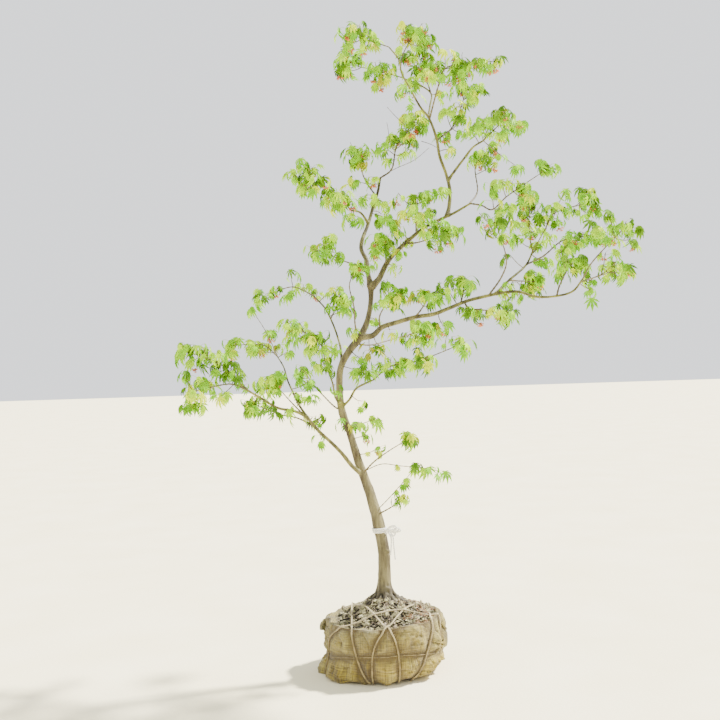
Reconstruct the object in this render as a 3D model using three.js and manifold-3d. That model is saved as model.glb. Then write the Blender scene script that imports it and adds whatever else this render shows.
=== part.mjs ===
// A young Japanese maple on its root ball: a slim leaning trunk that forks in two, slender boughs,
// tufts of fresh spring leaves, and a round ball of soil wrapped in burlap and laced with jute rope.
// Millimetres, +Z up. X runs to the right and Y away from the viewer who stands before the tree.
// The origin is the middle of the ball's flat underside.

import * as THREE from "three";
import Module from "manifold-3d";

const wasm = await Module();
wasm.setup();

// Driving dimensions
const GAP = 0.35; // clearance that neighbouring pieces keep
const BALL_RADIUS = 168; // widest radius of the wrapped root ball
const RIM_HEIGHT = 162; // top edge of the burlap
const WRAP_THICKNESS = 4; // burlap with its folds pressed flat
const CROWN_OF_SOIL = 200; // soil level at the trunk
const SOIL_EDGE = 150; // soil level where it meets the burlap
const TRUNK_SEAT_RADIUS = 46; // flat patch of soil under the trunk's root flare
const ROPE_DIAMETER = 7;
const LEAF_LENGTH = 58; // from the middle of the palm to the tip of the longest lobe
const STALK_LENGTH = 15; // from the palm back to the root of the leaf
const LEAF_THICKNESS = 2.6; // at the palm, tapering to the edge
const TWIG_GIRTH = 3.2; // thickness of a side twig at its root
const TWIG_TIP_GIRTH = 2.2;

// Limbs are placed as they are seen. A point is [across, up, behind]: the first two say where it
// shows on the upright plane through the trunk's foot, looked at from VIEWPOINT, and the third how
// far behind that plane it really lies (before it where negative).
const VIEWPOINT = new THREE.Vector3(-48, -2824, 895);

function seen([across, up, behind]) {
  const stretch = (behind - VIEWPOINT.y) / -VIEWPOINT.y;
  return new THREE.Vector3(across, 0, up).sub(VIEWPOINT).multiplyScalar(stretch).add(VIEWPOINT);
}

function shownAt(point) {
  const stretch = -VIEWPOINT.y / (point.y - VIEWPOINT.y);
  return point.clone().sub(VIEWPOINT).multiplyScalar(stretch).add(VIEWPOINT);
}

// A repeatable run of numbers from 0 to 1 for each seed
function seeded(seed) {
  let state = seed;
  return () => {
    state = (state * 16807) % 2147483647;
    return state / 2147483647;
  };
}

// Solids

function solidFrom(points, triangles) {
  const vertProperties = new Float32Array(points.flatMap((p) => [p.x, p.y, p.z]));
  const triVerts = new Uint32Array(triangles.flat());
  return new wasm.Manifold(new wasm.Mesh({ numProp: 3, vertProperties, triVerts }));
}

// A closed body through rings of points, each ring seen anticlockwise from the far end
function loft(rings) {
  const count = rings[0].length;
  const last = (rings.length - 1) * count;
  const triangles = [];
  for (let ring = 0; ring < rings.length - 1; ring++) {
    for (let k = 0; k < count; k++) {
      const a = ring * count + k;
      const b = ring * count + ((k + 1) % count);
      triangles.push([a, b, b + count], [a, b + count, a + count]);
    }
  }
  for (let k = 1; k < count - 1; k++) {
    triangles.push([0, k + 1, k], [last, last + k, last + k + 1]);
  }
  return solidFrom(rings.flat(), triangles);
}

// A round limb along a curve. thickness(share) is its diameter, and grow swells it all over.
function limbSolid(curve, thickness, sides, steps, grow = 0) {
  const { tangents, normals, binormals } = curve.computeFrenetFrames(steps, false);
  const swell = grow / Math.cos(Math.PI / sides);
  const rings = [];
  for (let i = 0; i <= steps; i++) {
    const middle = curve.getPointAt(i / steps);
    if (i === 0) middle.addScaledVector(tangents[0], -grow);
    if (i === steps) middle.addScaledVector(tangents[steps], grow);
    const radius = thickness(i / steps) / 2 + swell;
    rings.push(
      Array.from({ length: sides }, (_, k) => {
        const turn = (2 * Math.PI * k) / sides;
        return middle
          .clone()
          .addScaledVector(normals[i], radius * Math.cos(turn))
          .addScaledVector(binormals[i], radius * Math.sin(turn));
      })
    );
  }
  return loft(rings);
}

function joined(solids) {
  return solids.reduce((sum, solid) => sum.add(solid));
}

// The main piece alone: loose scraps go, and hollows that joining has sealed are filled
function mainPiece(solid) {
  const pieces = solid.decompose();
  return pieces.reduce((best, piece) => (piece.volume() > best.volume() ? piece : best));
}

function boxesMeet(a, b, margin) {
  return [0, 1, 2].every((i) => a.min[i] - margin < b.max[i] && b.min[i] - margin < a.max[i]);
}

function isClear(solid, others) {
  const box = solid.boundingBox();
  return others.every((other) => {
    return !boxesMeet(box, other.box, 1) || solid.minGap(other.solid, 1) >= GAP;
  });
}

function withBox(solid) {
  return { solid, box: solid.boundingBox() };
}

// Limbs

const trunkPath = [
  [3, 190, 0], [3, 240, 0], [5, 335, 0], [-9, 425, 4], [-27, 500, 8], [-43, 552, 12], [-60, 603, 12],
  [-87, 700, 8], [-105, 755, 4], [-111, 825, 0], [-104, 890, -6], [-76, 938, -8], [-46, 974, -8],
  [-22, 1025, -4], [-11, 1080, 0], [-9, 1130, 0],
];
const trunkGirths = [44, 40, 35, 36, 31, 28, 26, 20, 23, 20, 19, 21, 23, 15, 15, 19];

// Each bough: its name, the limb it leaves, the points it passes (the first is on that limb), and
// its thickness at foot and tip
const boughs = [
  ["left_leader", "trunk", [[-12, 1120], [-17, 1165, 15], [-20, 1200, 30], [-34, 1232, 45],
    [-31, 1258, 58], [-13, 1302, 85], [3, 1350, 105], [20, 1400, 120], [28, 1440, 125]], 15, 7],
  ["right_leader", "trunk", [[-6, 1118], [14, 1142, -12], [38, 1186, -5], [62, 1216, 8], [101, 1250, 28],
    [150, 1288, 44], [190, 1308, 50], [237, 1328, 50], [291, 1357, 40]], 17, 6],
  ["top_stem", "right_leader", [[222, 1322], [229, 1355, 62], [232, 1400, 70], [222, 1448, 64],
    [205, 1500, 54], [198, 1550, 44], [176, 1615, 30], [153, 1646, 18], [124, 1702, 0],
    [101, 1748, -20], [94, 1787, -36], [66, 1826, -50]], 12, 4],
  ["arching_bough", "top_stem", [[176, 1615], [182, 1650, 62], [186, 1684, 92], [160, 1707, 108],
    [100, 1735, 104]], 7, 4],
  ["right_middle_bough", "top_stem", [[229, 1428], [244, 1449, 30], [276, 1489, -20], [305, 1523, -60],
    [335, 1541, -86]], 9, 5],
  ["upper_left_bough", "left_leader", [[-12, 1308], [-33, 1340, 50], [-62, 1349, 15]], 8, 5],
  ["right_bough", "trunk", [[-42, 974], [-10, 977, -22], [20, 1001, -32], [67, 1015, -46],
    [119, 1028, -60], [173, 1035, -70], [222, 1052, -75], [271, 1070, -80], [328, 1083, -82],
    [400, 1094, -95], [429, 1092, -110], [473, 1077, -130], [538, 1077, -160], [585, 1090, -180],
    [614, 1124, -195]], 16, 5],
  ["right_rising_bough", "right_bough", [[358, 1088], [395, 1125, -40], [450, 1172, 20],
    [470, 1210, 50]], 9, 5],
  ["low_right_bough", "trunk", [[-108, 770], [-84, 790, -14], [-63, 822, -46], [-33, 838, -84],
    [-10, 847, -110]], 8, 5],
  ["left_bough", "trunk", [[-52, 568], [-78, 593, -12], [-113, 638, -35], [-145, 672, -50],
    [-177, 703, -60], [-210, 743, -70], [-244, 762, -80], [-293, 773, -100], [-337, 800, -125],
    [-387, 833, -150], [-418, 865, -165]], 13, 5],
  ["left_rising_bough", "left_bough", [[-206, 739], [-234, 785, -20], [-248, 818, 20],
    [-262, 852, 60], [-273, 893, 92], [-290, 924, 115]], 8, 4],
  ["left_front_bough", "trunk", [[-108, 772], [-124, 800, -42], [-130, 838, -86],
    [-135, 856, -102]], 7, 5],
  ["left_upright_bough", "trunk", [[-102, 892], [-103, 937, 48], [-112, 978, 90], [-127, 1022, 122],
    [-146, 1062, 146], [-178, 1100, 166]], 8, 4.5],
];

// Each mass of leaves: its name, the limb it grows from, the points its stem passes before its
// leaves (the first is on that limb, and picks the limb's tip when it is null), and the rounded
// spaces its leaves fill, one after the other: [across, up, behind, half width, half depth, half height]
const masses = [
  ["leaves_top_left", "top_stem", [null], [[-12, 1854, -62, 66, 62, 32]]],
  ["leaves_top_right", "top_stem", [[100, 1762], [106, 1800, 4]], [[136, 1856, 36, 68, 62, 34]]],
  ["leaves_arch_tip", "arching_bough", [null], [[45, 1752, 84, 48, 46, 32], [-50, 1778, 72, 46, 50, 34]]],
  ["leaves_upper_middle", "arching_bough", [[186, 1682]], [[165, 1755, 134, 62, 62, 50]]],
  ["leaves_upper_front", "top_stem", [[178, 1608], [192, 1655, -14], [206, 1700, -52]],
    [[232, 1758, -84, 60, 60, 44], [352, 1772, -112, 54, 40, 24]]],
  ["leaves_right_shoulder", "top_stem", [[199, 1545]], [[252, 1592, 92, 60, 60, 40],
    [286, 1680, 58, 48, 56, 40]]],
  ["leaves_right_middle", "right_middle_bough", [null], [[385, 1588, -116, 68, 62, 36]]],
  ["leaves_right_rise", "right_leader", [[288, 1356], [313, 1392, 100]], [[312, 1475, 126, 46, 48, 40],
    [362, 1512, 120, 30, 34, 22]]],
  ["leaves_right_reach", "right_leader", [null, [325, 1350, 8], [354, 1337, -14]],
    [[400, 1375, -34, 76, 70, 40], [505, 1442, -66, 58, 40, 28]]],
  ["leaves_leader_tip", "left_leader", [null, [62, 1464, 130]], [[80, 1533, 136, 58, 60, 42],
    [128, 1595, 142, 40, 46, 30]]],
  ["leaves_leader_left", "left_leader", [[14, 1385], [-18, 1440, 104]], [[-36, 1510, 88, 42, 46, 34]]],
  ["leaves_upper_left", "upper_left_bough", [null], [[-90, 1385, -14, 46, 46, 36],
    [-182, 1442, -84, 46, 50, 38]]],
  ["leaves_fork_front", "right_leader", [[128, 1274]], [[130, 1350, -52, 58, 58, 40]]],
  ["leaves_fork_right", "right_leader", [[95, 1246], [131, 1247, -14]], [[200, 1266, -58, 54, 50, 36]]],
  ["leaves_fork_inner", "right_leader", [[36, 1182]], [[42, 1242, -64, 42, 44, 34]]],
  ["leaves_left_twig", "left_leader", [[-15, 1160], [-56, 1187, -12], [-95, 1203, -34]],
    [[-138, 1226, -60, 50, 50, 32]]],
  ["leaves_rising_bough", "right_rising_bough", [null], [[462, 1258, 66, 54, 54, 42],
    [465, 1345, 106, 44, 50, 48]]],
  ["leaves_right_slope", "right_bough", [[335, 1085], [377, 1140, -130], [392, 1185, -160]],
    [[368, 1285, -190, 52, 50, 42]]],
  ["leaves_far_right_top", "right_rising_bough", [[466, 1200], [500, 1240, 100]],
    [[530, 1315, 132, 40, 40, 36], [625, 1345, 156, 58, 55, 42]]],
  ["leaves_far_right_middle", "right_rising_bough", [[450, 1172], [500, 1195, 10]],
    [[560, 1240, -10, 54, 50, 32], [642, 1252, -30, 42, 44, 34]]],
  ["leaves_right_tip", "right_bough", [null, [640, 1168, -210]], [[724, 1254, -205, 46, 45, 46]]],
  ["leaves_far_right_low", "right_bough", [[608, 1114]], [[682, 1138, -150, 66, 58, 42]]],
  ["leaves_right_inner", "right_bough", [[538, 1077], [545, 1105, -150]], [[574, 1160, -128, 46, 46, 36]]],
  ["leaves_under_rise", "right_rising_bough", [[398, 1127]], [[460, 1122, 20, 50, 45, 30]]],
  ["leaves_right_hanging", "right_bough", [[265, 1066], [280, 1045, -100]],
    [[300, 1045, -112, 36, 38, 24], [375, 1033, -132, 32, 35, 26]]],
  ["leaves_right_upright", "right_bough", [[255, 1064]], [[270, 1128, -52, 38, 42, 36]]],
  ["leaves_right_short", "right_bough", [[119, 1028], [133, 1045, -78]], [[160, 1084, -100, 44, 40, 28]]],
  ["leaves_beside_trunk", "right_bough", [[12, 998], [14, 1034, -52]], [[45, 1085, -80, 36, 40, 40]]],
  ["leaves_behind", "trunk", [[-62, 956], [-16, 950, 70], [50, 965, 170]], [[130, 985, 250, 60, 60, 38]]],
  ["leaves_low_right", "low_right_bough", [null], [[40, 885, -152, 42, 40, 26],
    [120, 898, -192, 42, 40, 24], [235, 938, -240, 46, 45, 26]]],
  ["leaves_low_shoot", "trunk", [[-52, 570], [-18, 605, -30], [35, 641, -80]],
    [[84, 668, -108, 34, 35, 28]]],
  ["leaves_lowest_shoot", "trunk", [[-12, 448], [22, 467, -30]], [[62, 490, -50, 28, 30, 18]]],
  ["leaves_upright_tip", "left_upright_bough", [null], [[-240, 1128, 184, 58, 50, 32],
    [-325, 1100, 196, 38, 35, 26]]],
  ["leaves_upright_side", "left_upright_bough", [[-130, 1030]], [[-104, 1082, 112, 38, 44, 36]]],
  ["leaves_left_front", "left_front_bough", [null], [[-148, 893, -130, 30, 36, 28],
    [-166, 962, -172, 40, 44, 36], [-225, 1003, -190, 44, 45, 36]]],
  ["leaves_left_back", "trunk", [[-108, 758], [-127, 772, 40], [-153, 799, 90], [-182, 832, 138]],
    [[-215, 882, 186, 50, 48, 36]]],
  ["leaves_left_rising", "left_rising_bough", [null], [[-328, 958, 134, 54, 54, 30],
    [-412, 962, 144, 42, 45, 26]]],
  ["leaves_left_tip", "left_bough", [null], [[-452, 903, -170, 50, 54, 36],
    [-535, 940, -184, 66, 50, 30]]],
  ["leaves_left_drooping", "left_bough", [[-383, 830], [-433, 848, -194]], [[-525, 832, -222, 46, 48, 50]]],
  ["leaves_left_middle", "left_bough", [[-216, 747], [-253, 788, -30]], [[-302, 846, -10, 44, 45, 36]]],
  ["leaves_left_low", "left_bough", [[-188, 715], [-238, 742, -10], [-290, 755, 30]],
    [[-360, 785, 66, 46, 45, 24]]],
  ["leaves_bare_stem", "trunk", [[-52, 966], [-59, 1010, -60], [-61, 1065, -80], [-72, 1130, -86]],
    [[-50, 1176, -78, 28, 34, 22]]],
];

const LIMB_SAMPLES = 200;

function curveThrough(points) {
  return new THREE.CatmullRomCurve3(points, false, "centripetal");
}

// The place on a curve that shows nearest to a point of the upright plane
function shareNearest(curve, [across, up]) {
  let nearest = { distance: Infinity, share: 0 };
  for (let i = 0; i <= LIMB_SAMPLES; i++) {
    const shown = shownAt(curve.getPointAt(i / LIMB_SAMPLES));
    const distance = Math.hypot(shown.x - across, shown.z - up);
    if (distance < nearest.distance) nearest = { distance, share: i / LIMB_SAMPLES };
  }
  return nearest.share;
}

function girthAlong(girths, share) {
  const place = share * (girths.length - 1);
  const i = Math.min(Math.floor(place), girths.length - 2);
  return THREE.MathUtils.lerp(girths[i], girths[i + 1], place - i);
}

const limbs = new Map();

// The trunk's foot spreads into root ridges, and it stands on the soil with a flat cut
function addTrunk() {
  const SIDES = 10;
  const STEPS = 24;
  const RIDGES = 5;
  const FIRST_RIDGE_TURN = 0.5;
  const RIDGE_REACH = 16; // how far the longest ridge runs out from the trunk's skin
  const RIDGE_HEIGHT = 46;
  const BEND_HEIGHT = 18;
  const ridgeGirth = (share) => 15 - 6 * share;
  const curve = curveThrough(trunkPath.map(seen));
  const thickness = (share) => girthAlong(trunkGirths, curve.getUtoTmapping(share));
  const foot = seen(trunkPath[0]);
  const skin = thickness(0) / 2;
  const ridges = Array.from({ length: RIDGES }, (_, k) => {
    const turn = FIRST_RIDGE_TURN + (2 * Math.PI * k) / RIDGES;
    const side = new THREE.Vector3(Math.cos(turn), Math.sin(turn), 0);
    const at = (out, rise) => foot.clone().addScaledVector(side, out).setZ(foot.z + rise);
    const reach = RIDGE_REACH * (0.6 + 0.4 * Math.cos(turn));
    const path = [at(skin + reach, 0), at(skin - 1, BEND_HEIGHT), at(skin - 8, RIDGE_HEIGHT)];
    return limbSolid(curveThrough(path), ridgeGirth, 5, 4);
  });
  const whole = joined([limbSolid(curve, thickness, SIDES, STEPS), ...ridges]);
  limbs.set("trunk", {
    curve,
    thickness,
    grown: limbSolid(curve, thickness, SIDES, STEPS, GAP),
    solid: mainPiece(whole.trimByPlane([0, 0, 1], CROWN_OF_SOIL + GAP)),
  });
}

function addBough([name, parentName, path, footGirth, tipGirth]) {
  const SIDES = 6;
  const STEP_LENGTH = 38;
  const parent = limbs.get(parentName);
  const foot = parent.curve.getPointAt(shareNearest(parent.curve, path[0]));
  const curve = curveThrough([foot, ...path.slice(1).map(seen)]);
  const thickness = (share) => THREE.MathUtils.lerp(footGirth, tipGirth, Math.sqrt(share));
  const steps = Math.max(4, Math.round(curve.getLength() / STEP_LENGTH));
  const grown = limbSolid(curve, thickness, SIDES, steps, GAP);
  const earlier = [...limbs.values()].map((limb) => limb.grown);
  const near = earlier.filter((limb) => boxesMeet(grown.boundingBox(), limb.boundingBox(), 0));
  const whole = limbSolid(curve, thickness, SIDES, steps);
  limbs.set(name, { curve, thickness, grown, solid: mainPiece(whole.subtract(joined(near))) });
}

// Leaves

const SHORTEST_TWIG = 9;
const WIDE_SPACE = 44; // mean radius from which a space holds three pairs of leaves and not two

// One drooping leaf of five lobes. root is where its stalk starts, out the way it points and up its
// upper side. It closes to a thin edge all round.
function leafSolid(root, out, up, size) {
  const LOBE_TURN = 0.8;
  const LOBE_REACH = [0.56, 0.88, 1, 0.88, 0.56];
  const NOTCH_REACH = 0.4;
  const DROOP = 0.34;
  const side = new THREE.Vector3().crossVectors(out, up).normalize();
  const over = new THREE.Vector3().crossVectors(side, out).normalize();
  const palm = root.clone().addScaledVector(out, STALK_LENGTH * size);
  const at = (turn, reach) => {
    const length = LEAF_LENGTH * size * reach;
    return palm
      .clone()
      .addScaledVector(out, length * Math.cos(turn))
      .addScaledVector(side, length * Math.sin(turn))
      .addScaledVector(over, -DROOP * length * reach);
  };
  const rim = [root];
  for (let lobe = -2; lobe <= 2; lobe++) {
    rim.push(at(lobe * LOBE_TURN, LOBE_REACH[lobe + 2]));
    if (lobe < 2) rim.push(at((lobe + 0.5) * LOBE_TURN, NOTCH_REACH));
  }
  const top = palm.clone().addScaledVector(over, LEAF_THICKNESS / 2);
  const bottom = palm.clone().addScaledVector(over, -LEAF_THICKNESS / 2);
  const count = rim.length;
  const triangles = [];
  for (let k = 0; k < count; k++) {
    const next = (k + 1) % count;
    triangles.push([next, k, count], [k, next, count + 1]);
  }
  return solidFrom([...rim, top, bottom], triangles);
}

function twigSolid(from, to, footGirth, tipGirth) {
  const curve = new THREE.LineCurve3(from, to);
  return limbSolid(curve, (share) => THREE.MathUtils.lerp(footGirth, tipGirth, share), 3, 1);
}

function meanRadius(space) {
  return (space.half.x + space.half.y + space.half.z) / 3;
}

// Small spaces hold smaller leaves
function leafScale(space) {
  return THREE.MathUtils.clamp(meanRadius(space) / 50, 0.7, 1);
}

// How far it is from a point inside a rounded space to its skin, along a direction
function reachInside(space, from, direction) {
  const local = from.clone().sub(space.centre).divide(space.half);
  const way = direction.clone().divide(space.half);
  const a = way.lengthSq();
  const b = local.dot(way);
  const c = local.lengthSq() - 1;
  return c > 0 ? 0 : (Math.sqrt(b * b - a * c) - b) / a;
}

// The stem of a mass: from its limb through the middles of its spaces, ending a leaf's length
// inside the last of them
function growStem([name, parentName, path, spaces]) {
  const SIDES = 3;
  const STEP_LENGTH = 45;
  const TIP_GIRTH = 2.4;
  const WIDEST_FOOT = 5.5;
  const parent = limbs.get(parentName);
  const share = path[0] ? shareNearest(parent.curve, path[0]) : 1;
  const foot = parent.curve.getPointAt(share);
  const rounded = spaces.map(([across, up, behind, width, depth, height]) => ({
    centre: seen([across, up, behind]),
    half: new THREE.Vector3(width, depth, height),
  }));
  const centres = rounded.map((space) => space.centre);
  const before = centres.length > 1 ? centres.at(-2) : path.length > 1 ? seen(path.at(-1)) : foot;
  const last = rounded.at(-1);
  const onward = last.centre.clone().sub(before).normalize();
  const room = reachInside(last, last.centre, onward) - LEAF_LENGTH * leafScale(last);
  const end = last.centre.clone().addScaledVector(onward, Math.max(room, SHORTEST_TWIG));
  const curve = curveThrough([foot, ...path.slice(1).map(seen), ...centres, end]);
  const footGirth = Math.min(parent.thickness(share) * 0.8, WIDEST_FOOT);
  const thickness = (along) => THREE.MathUtils.lerp(footGirth, TIP_GIRTH, along);
  const steps = Math.max(4, Math.round(curve.getLength() / STEP_LENGTH));
  const whole = limbSolid(curve, thickness, SIDES, steps);
  return { name, curve, rounded, solid: mainPiece(whole.subtract(parent.grown)) };
}

// Leaves and side twigs grow in opposite pairs, each pair turned a quarter from the one before. One
// that would leave its space, or touch a limb, another mass or an earlier leaf, is left out.
function growLeaves(mass, seed, obstacles) {
  const FORWARD = 0.45; // how far twigs lean along the stem
  const ATTEMPTS = 3;
  const NEXT_TURN = 0.5; // how far each further attempt turns about the stem
  const random = seeded(seed);
  const { curve, rounded } = mass;
  const twigs = [mass.solid];
  const leaves = [];
  const tryLeaf = (space, node, out, size) => {
    const taken = [...obstacles, ...leaves.map(withBox)];
    const grown = growLeaf(space, node, out, size, random);
    const fits = isClear(grown.leaf, taken) && (!grown.twig || isClear(grown.twig, taken));
    if (!fits) return false;
    leaves.push(grown.leaf);
    if (grown.twig) twigs.push(grown.twig);
    return true;
  };
  rounded.forEach((space, index) => {
    const radius = meanRadius(space);
    const size = leafScale(space);
    const shown = shownAt(space.centre);
    const middle = shareNearest(curve, [shown.x, shown.z]);
    // Places of the pairs along the stem, from the middle of the space, in mean radii
    const places = radius > WIDE_SPACE ? [-0.75, -0.3, 0.15, 0.6] : [-0.45, 0.45];
    places.forEach((place, pair) => {
      const share = Math.min(middle + (place * radius) / curve.getLength(), 1);
      const node = curve.getPointAt(share);
      const along = curve.getTangentAt(share);
      const sideways = new THREE.Vector3(0, 0, 1).cross(along).normalize();
      const turn = (pair * Math.PI) / 2 + 0.6 * (random() - 0.5);
      for (const opposite of [0, Math.PI]) {
        for (let attempt = 0, placed = false; attempt < ATTEMPTS && !placed; attempt++) {
          const out = sideways.clone().applyAxisAngle(along, turn + opposite + attempt * NEXT_TURN);
          out.addScaledVector(along, FORWARD * (0.5 + random())).normalize();
          placed = tryLeaf(space, node, out, size);
        }
      }
    });
    if (index === rounded.length - 1) tryLeaf(space, curve.getPointAt(1), curve.getTangentAt(1), size);
  });
  return mainPiece(joined([...twigs, ...leaves]));
}

// A leaf, on a twig of its own where there is room for one
function growLeaf(space, node, out, size, random) {
  const LEAF_SHARE = 0.8; // part of a leaf's length that lies inside the space
  const ROOT_DEPTH = 2.2; // how deep a leaf's root is sunk
  const TWIG_BEYOND = 1.5; // how far a twig runs past the root of its leaf
  const way = out.clone();
  way.z -= 0.2 + 0.35 * random();
  way.normalize();
  const whole = (LEAF_LENGTH + STALK_LENGTH) * size;
  const twigLength = reachInside(space, node, way) - whole * LEAF_SHARE;
  const hasTwig = twigLength > SHORTEST_TWIG;
  const tip = hasTwig ? node.clone().addScaledVector(out, twigLength) : node;
  const upper = new THREE.Vector3(random() - 0.5, random() - 0.5, 1.4).normalize();
  const root = tip.clone().addScaledVector(way, -ROOT_DEPTH);
  const leaf = leafSolid(root, way, upper, size);
  if (!hasTwig) return { leaf };
  const twigEnd = tip.clone().addScaledVector(out, TWIG_BEYOND);
  return { leaf, twig: twigSolid(node, twigEnd, TWIG_GIRTH, TWIG_TIP_GIRTH) };
}

// Root ball

// How far the burlap stands from the middle at a turn and height: a low round bag, drawn in under
// its right side, spread on the ground at its left, with shallow folds
function wrapRadius(turn, height) {
  const belly = BALL_RADIUS - 30 * Math.exp(-height / 14) - 7 * Math.pow(height / RIM_HEIGHT, 6);
  const foot = Math.exp(-height / 22);
  const leftSpread = 34 * foot * Math.pow(Math.max(0, Math.cos(turn - 3.3)), 3);
  const rightTuck = 16 * foot * Math.pow(Math.max(0, Math.cos(turn + 0.35)), 2);
  const folds = 2.2 * Math.sin(7 * turn + 0.6) + 1.4 * Math.sin(12 * turn + height / 40);
  return belly + leftSpread - rightTuck + folds;
}

function ringOf(radiusAt, height, count) {
  return Array.from({ length: count }, (_, k) => {
    const turn = (2 * Math.PI * k) / count;
    const radius = radiusAt(turn);
    return new THREE.Vector3(radius * Math.cos(turn), radius * Math.sin(turn), height);
  });
}

const WRAP_SEGMENTS = 30;
const WRAP_LEVELS = [0, 7, 22, 50, 95, SOIL_EDGE, RIM_HEIGHT];
const SOIL_LEVELS = [0, 22, 50, 95];
const SOIL_RADIUS = BALL_RADIUS - WRAP_THICKNESS - GAP;

function wrapRings(levels, inset, bottom) {
  return levels.map((level) => {
    return ringOf((turn) => wrapRadius(turn, level) - inset, level || bottom, WRAP_SEGMENTS);
  });
}

// Soil height over a place in plan: a mound that falls from the trunk to the burlap
function soilHeight(distance) {
  const slope = (distance - TRUNK_SEAT_RADIUS) / (SOIL_RADIUS - TRUNK_SEAT_RADIUS);
  const fall = Math.pow(THREE.MathUtils.clamp(slope, 0, 1), 0.8);
  return THREE.MathUtils.lerp(CROWN_OF_SOIL, SOIL_EDGE, fall);
}

function soilSolid(grow) {
  const inset = WRAP_THICKNESS + 2 * GAP - grow;
  const rings = wrapRings(SOIL_LEVELS, inset, WRAP_THICKNESS + GAP - grow);
  for (const share of [1, 0.85, 0.62, 0.42]) {
    const radiusAt = (turn) => (wrapRadius(turn, SOIL_EDGE) - inset) * share;
    rings.push(ringOf(radiusAt, soilHeight(share * SOIL_RADIUS) + grow, WRAP_SEGMENTS));
  }
  rings.push(ringOf(() => TRUNK_SEAT_RADIUS, CROWN_OF_SOIL + grow, WRAP_SEGMENTS));
  return loft(rings);
}

// Corners of the burlap, gathered and knotted: [turn, height, reach, drop]
const knots = [
  [2.86, 128, 24, 12], [-0.1, 118, 24, 20], [-0.28, 24, 24, 4], [1.2, 120, 20, 14], [3.08, 26, 14, 12],
];

// A knot leaves the burlap, bulges and hangs down
function knotSolid([turn, height, reach, drop]) {
  const ROOT_DEPTH = 3;
  const side = new THREE.Vector3(Math.cos(turn), Math.sin(turn), 0);
  const at = (out, level) => side.clone().multiplyScalar(wrapRadius(turn, height) + out).setZ(level);
  const root = at(-ROOT_DEPTH, height + 8);
  const curve = curveThrough([root, at(0.45 * reach, height + 2), at(0.6 * reach, height - drop)]);
  const girth = (share) => 22 - 14 * Math.abs(share - 0.35);
  return limbSolid(curve, girth, 6, 4);
}

function wrapSolid() {
  const inside = wrapRings(WRAP_LEVELS, WRAP_THICKNESS, WRAP_THICKNESS);
  const aboveRim = inside.at(-1).map((point) => point.clone().setZ(RIM_HEIGHT + 1));
  return loft(wrapRings(WRAP_LEVELS, 0, 0)).subtract(loft([...inside, aboveRim]));
}

// One run of the lacing goes up the side, over the rim, across the soil and down the far side. Each
// of its two ends is given as [turn at the ground, turn at the rim, bow]: with a bow over 1 the rope
// leaves the rim at a slant and then hangs straight, with one under 1 it does the reverse.
const lacing = [
  [[2.5, 2.45, 1], [-1.36, -1.52, 4]], [[0.42, 0.53, 1], [-1.82, -1.58, 4]],
  [[2.05, 2.2, 1], [-1.78, -2.2, 0.5]], [[3.4, 3.86, 4], [-0.5, -0.29, 1]],
  [[0.95, 0.8, 1], [-1.15, -0.65, 0.7]],
];

function lacingSolid([firstEnd, farEnd]) {
  const SIDES = 5;
  const SIDE_REST = ROPE_DIAMETER / 2 + 0.9; // from burlap to the rope's middle
  const TOP_REST = ROPE_DIAMETER / 2 + 2.7; // from soil to the rope's middle
  const OVER_RIM = ROPE_DIAMETER / 2 + 1.9;
  const NEAR_RIM = 16; // how far inside the soil's edge the rope still lies on the rim
  const onSide = (turn, height) => {
    const slope = (wrapRadius(turn, height + 4) - wrapRadius(turn, height - 4)) / 8;
    const out = new THREE.Vector3(Math.cos(turn), Math.sin(turn), -slope).normalize();
    const radius = wrapRadius(turn, height);
    const skin = new THREE.Vector3(radius * Math.cos(turn), radius * Math.sin(turn), height);
    return skin.addScaledVector(out, SIDE_REST);
  };
  const rise = ([low, rim, bow]) => {
    const side = [13, 22, 50, 95, 124, SOIL_EDGE].map((height) => {
      return onSide(THREE.MathUtils.lerp(low, rim, Math.pow(height / RIM_HEIGHT, bow)), height);
    });
    const edge = onSide(rim, RIM_HEIGHT);
    const corner = edge.clone().setZ(RIM_HEIGHT + OVER_RIM / 2);
    return [...side, corner, edge.multiplyScalar(0.98).setZ(RIM_HEIGHT + OVER_RIM)];
  };
  const up = rise(firstEnd);
  const down = rise(farEnd).reverse();
  const across = [0.1, 0.22, 0.36, 0.5, 0.64, 0.78, 0.9].map((share) => {
    const point = up.at(-1).clone().lerp(down[0], share);
    const distance = Math.hypot(point.x, point.y);
    const overSoil = soilHeight(distance) + TOP_REST;
    return point.setZ(distance > SOIL_RADIUS - NEAR_RIM ? RIM_HEIGHT + OVER_RIM : overSoil);
  });
  const route = [...up, ...across, ...down];
  const beside = new THREE.Vector3(0, 0, 1).cross(down[0].clone().sub(up.at(-1))).normalize();
  const rings = route.map((point, i) => {
    const ahead = route[Math.min(i + 1, route.length - 1)].clone().sub(route[Math.max(i - 1, 0)]);
    const over = ahead.cross(beside).normalize();
    return Array.from({ length: SIDES }, (_, k) => {
      const turn = (2 * Math.PI * k) / SIDES;
      return point
        .clone()
        .addScaledVector(beside, (-ROPE_DIAMETER / 2) * Math.sin(turn))
        .addScaledVector(over, (ROPE_DIAMETER / 2) * Math.cos(turn));
    });
  });
  return loft(rings);
}

// The string that goes all round the ball, low at the back and higher before the viewer
function girdleHeight(turn) {
  const LOW = 52;
  const RISE = 34;
  return LOW + RISE * Math.pow(Math.max(0, -Math.sin(turn)), 1.3);
}

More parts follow.
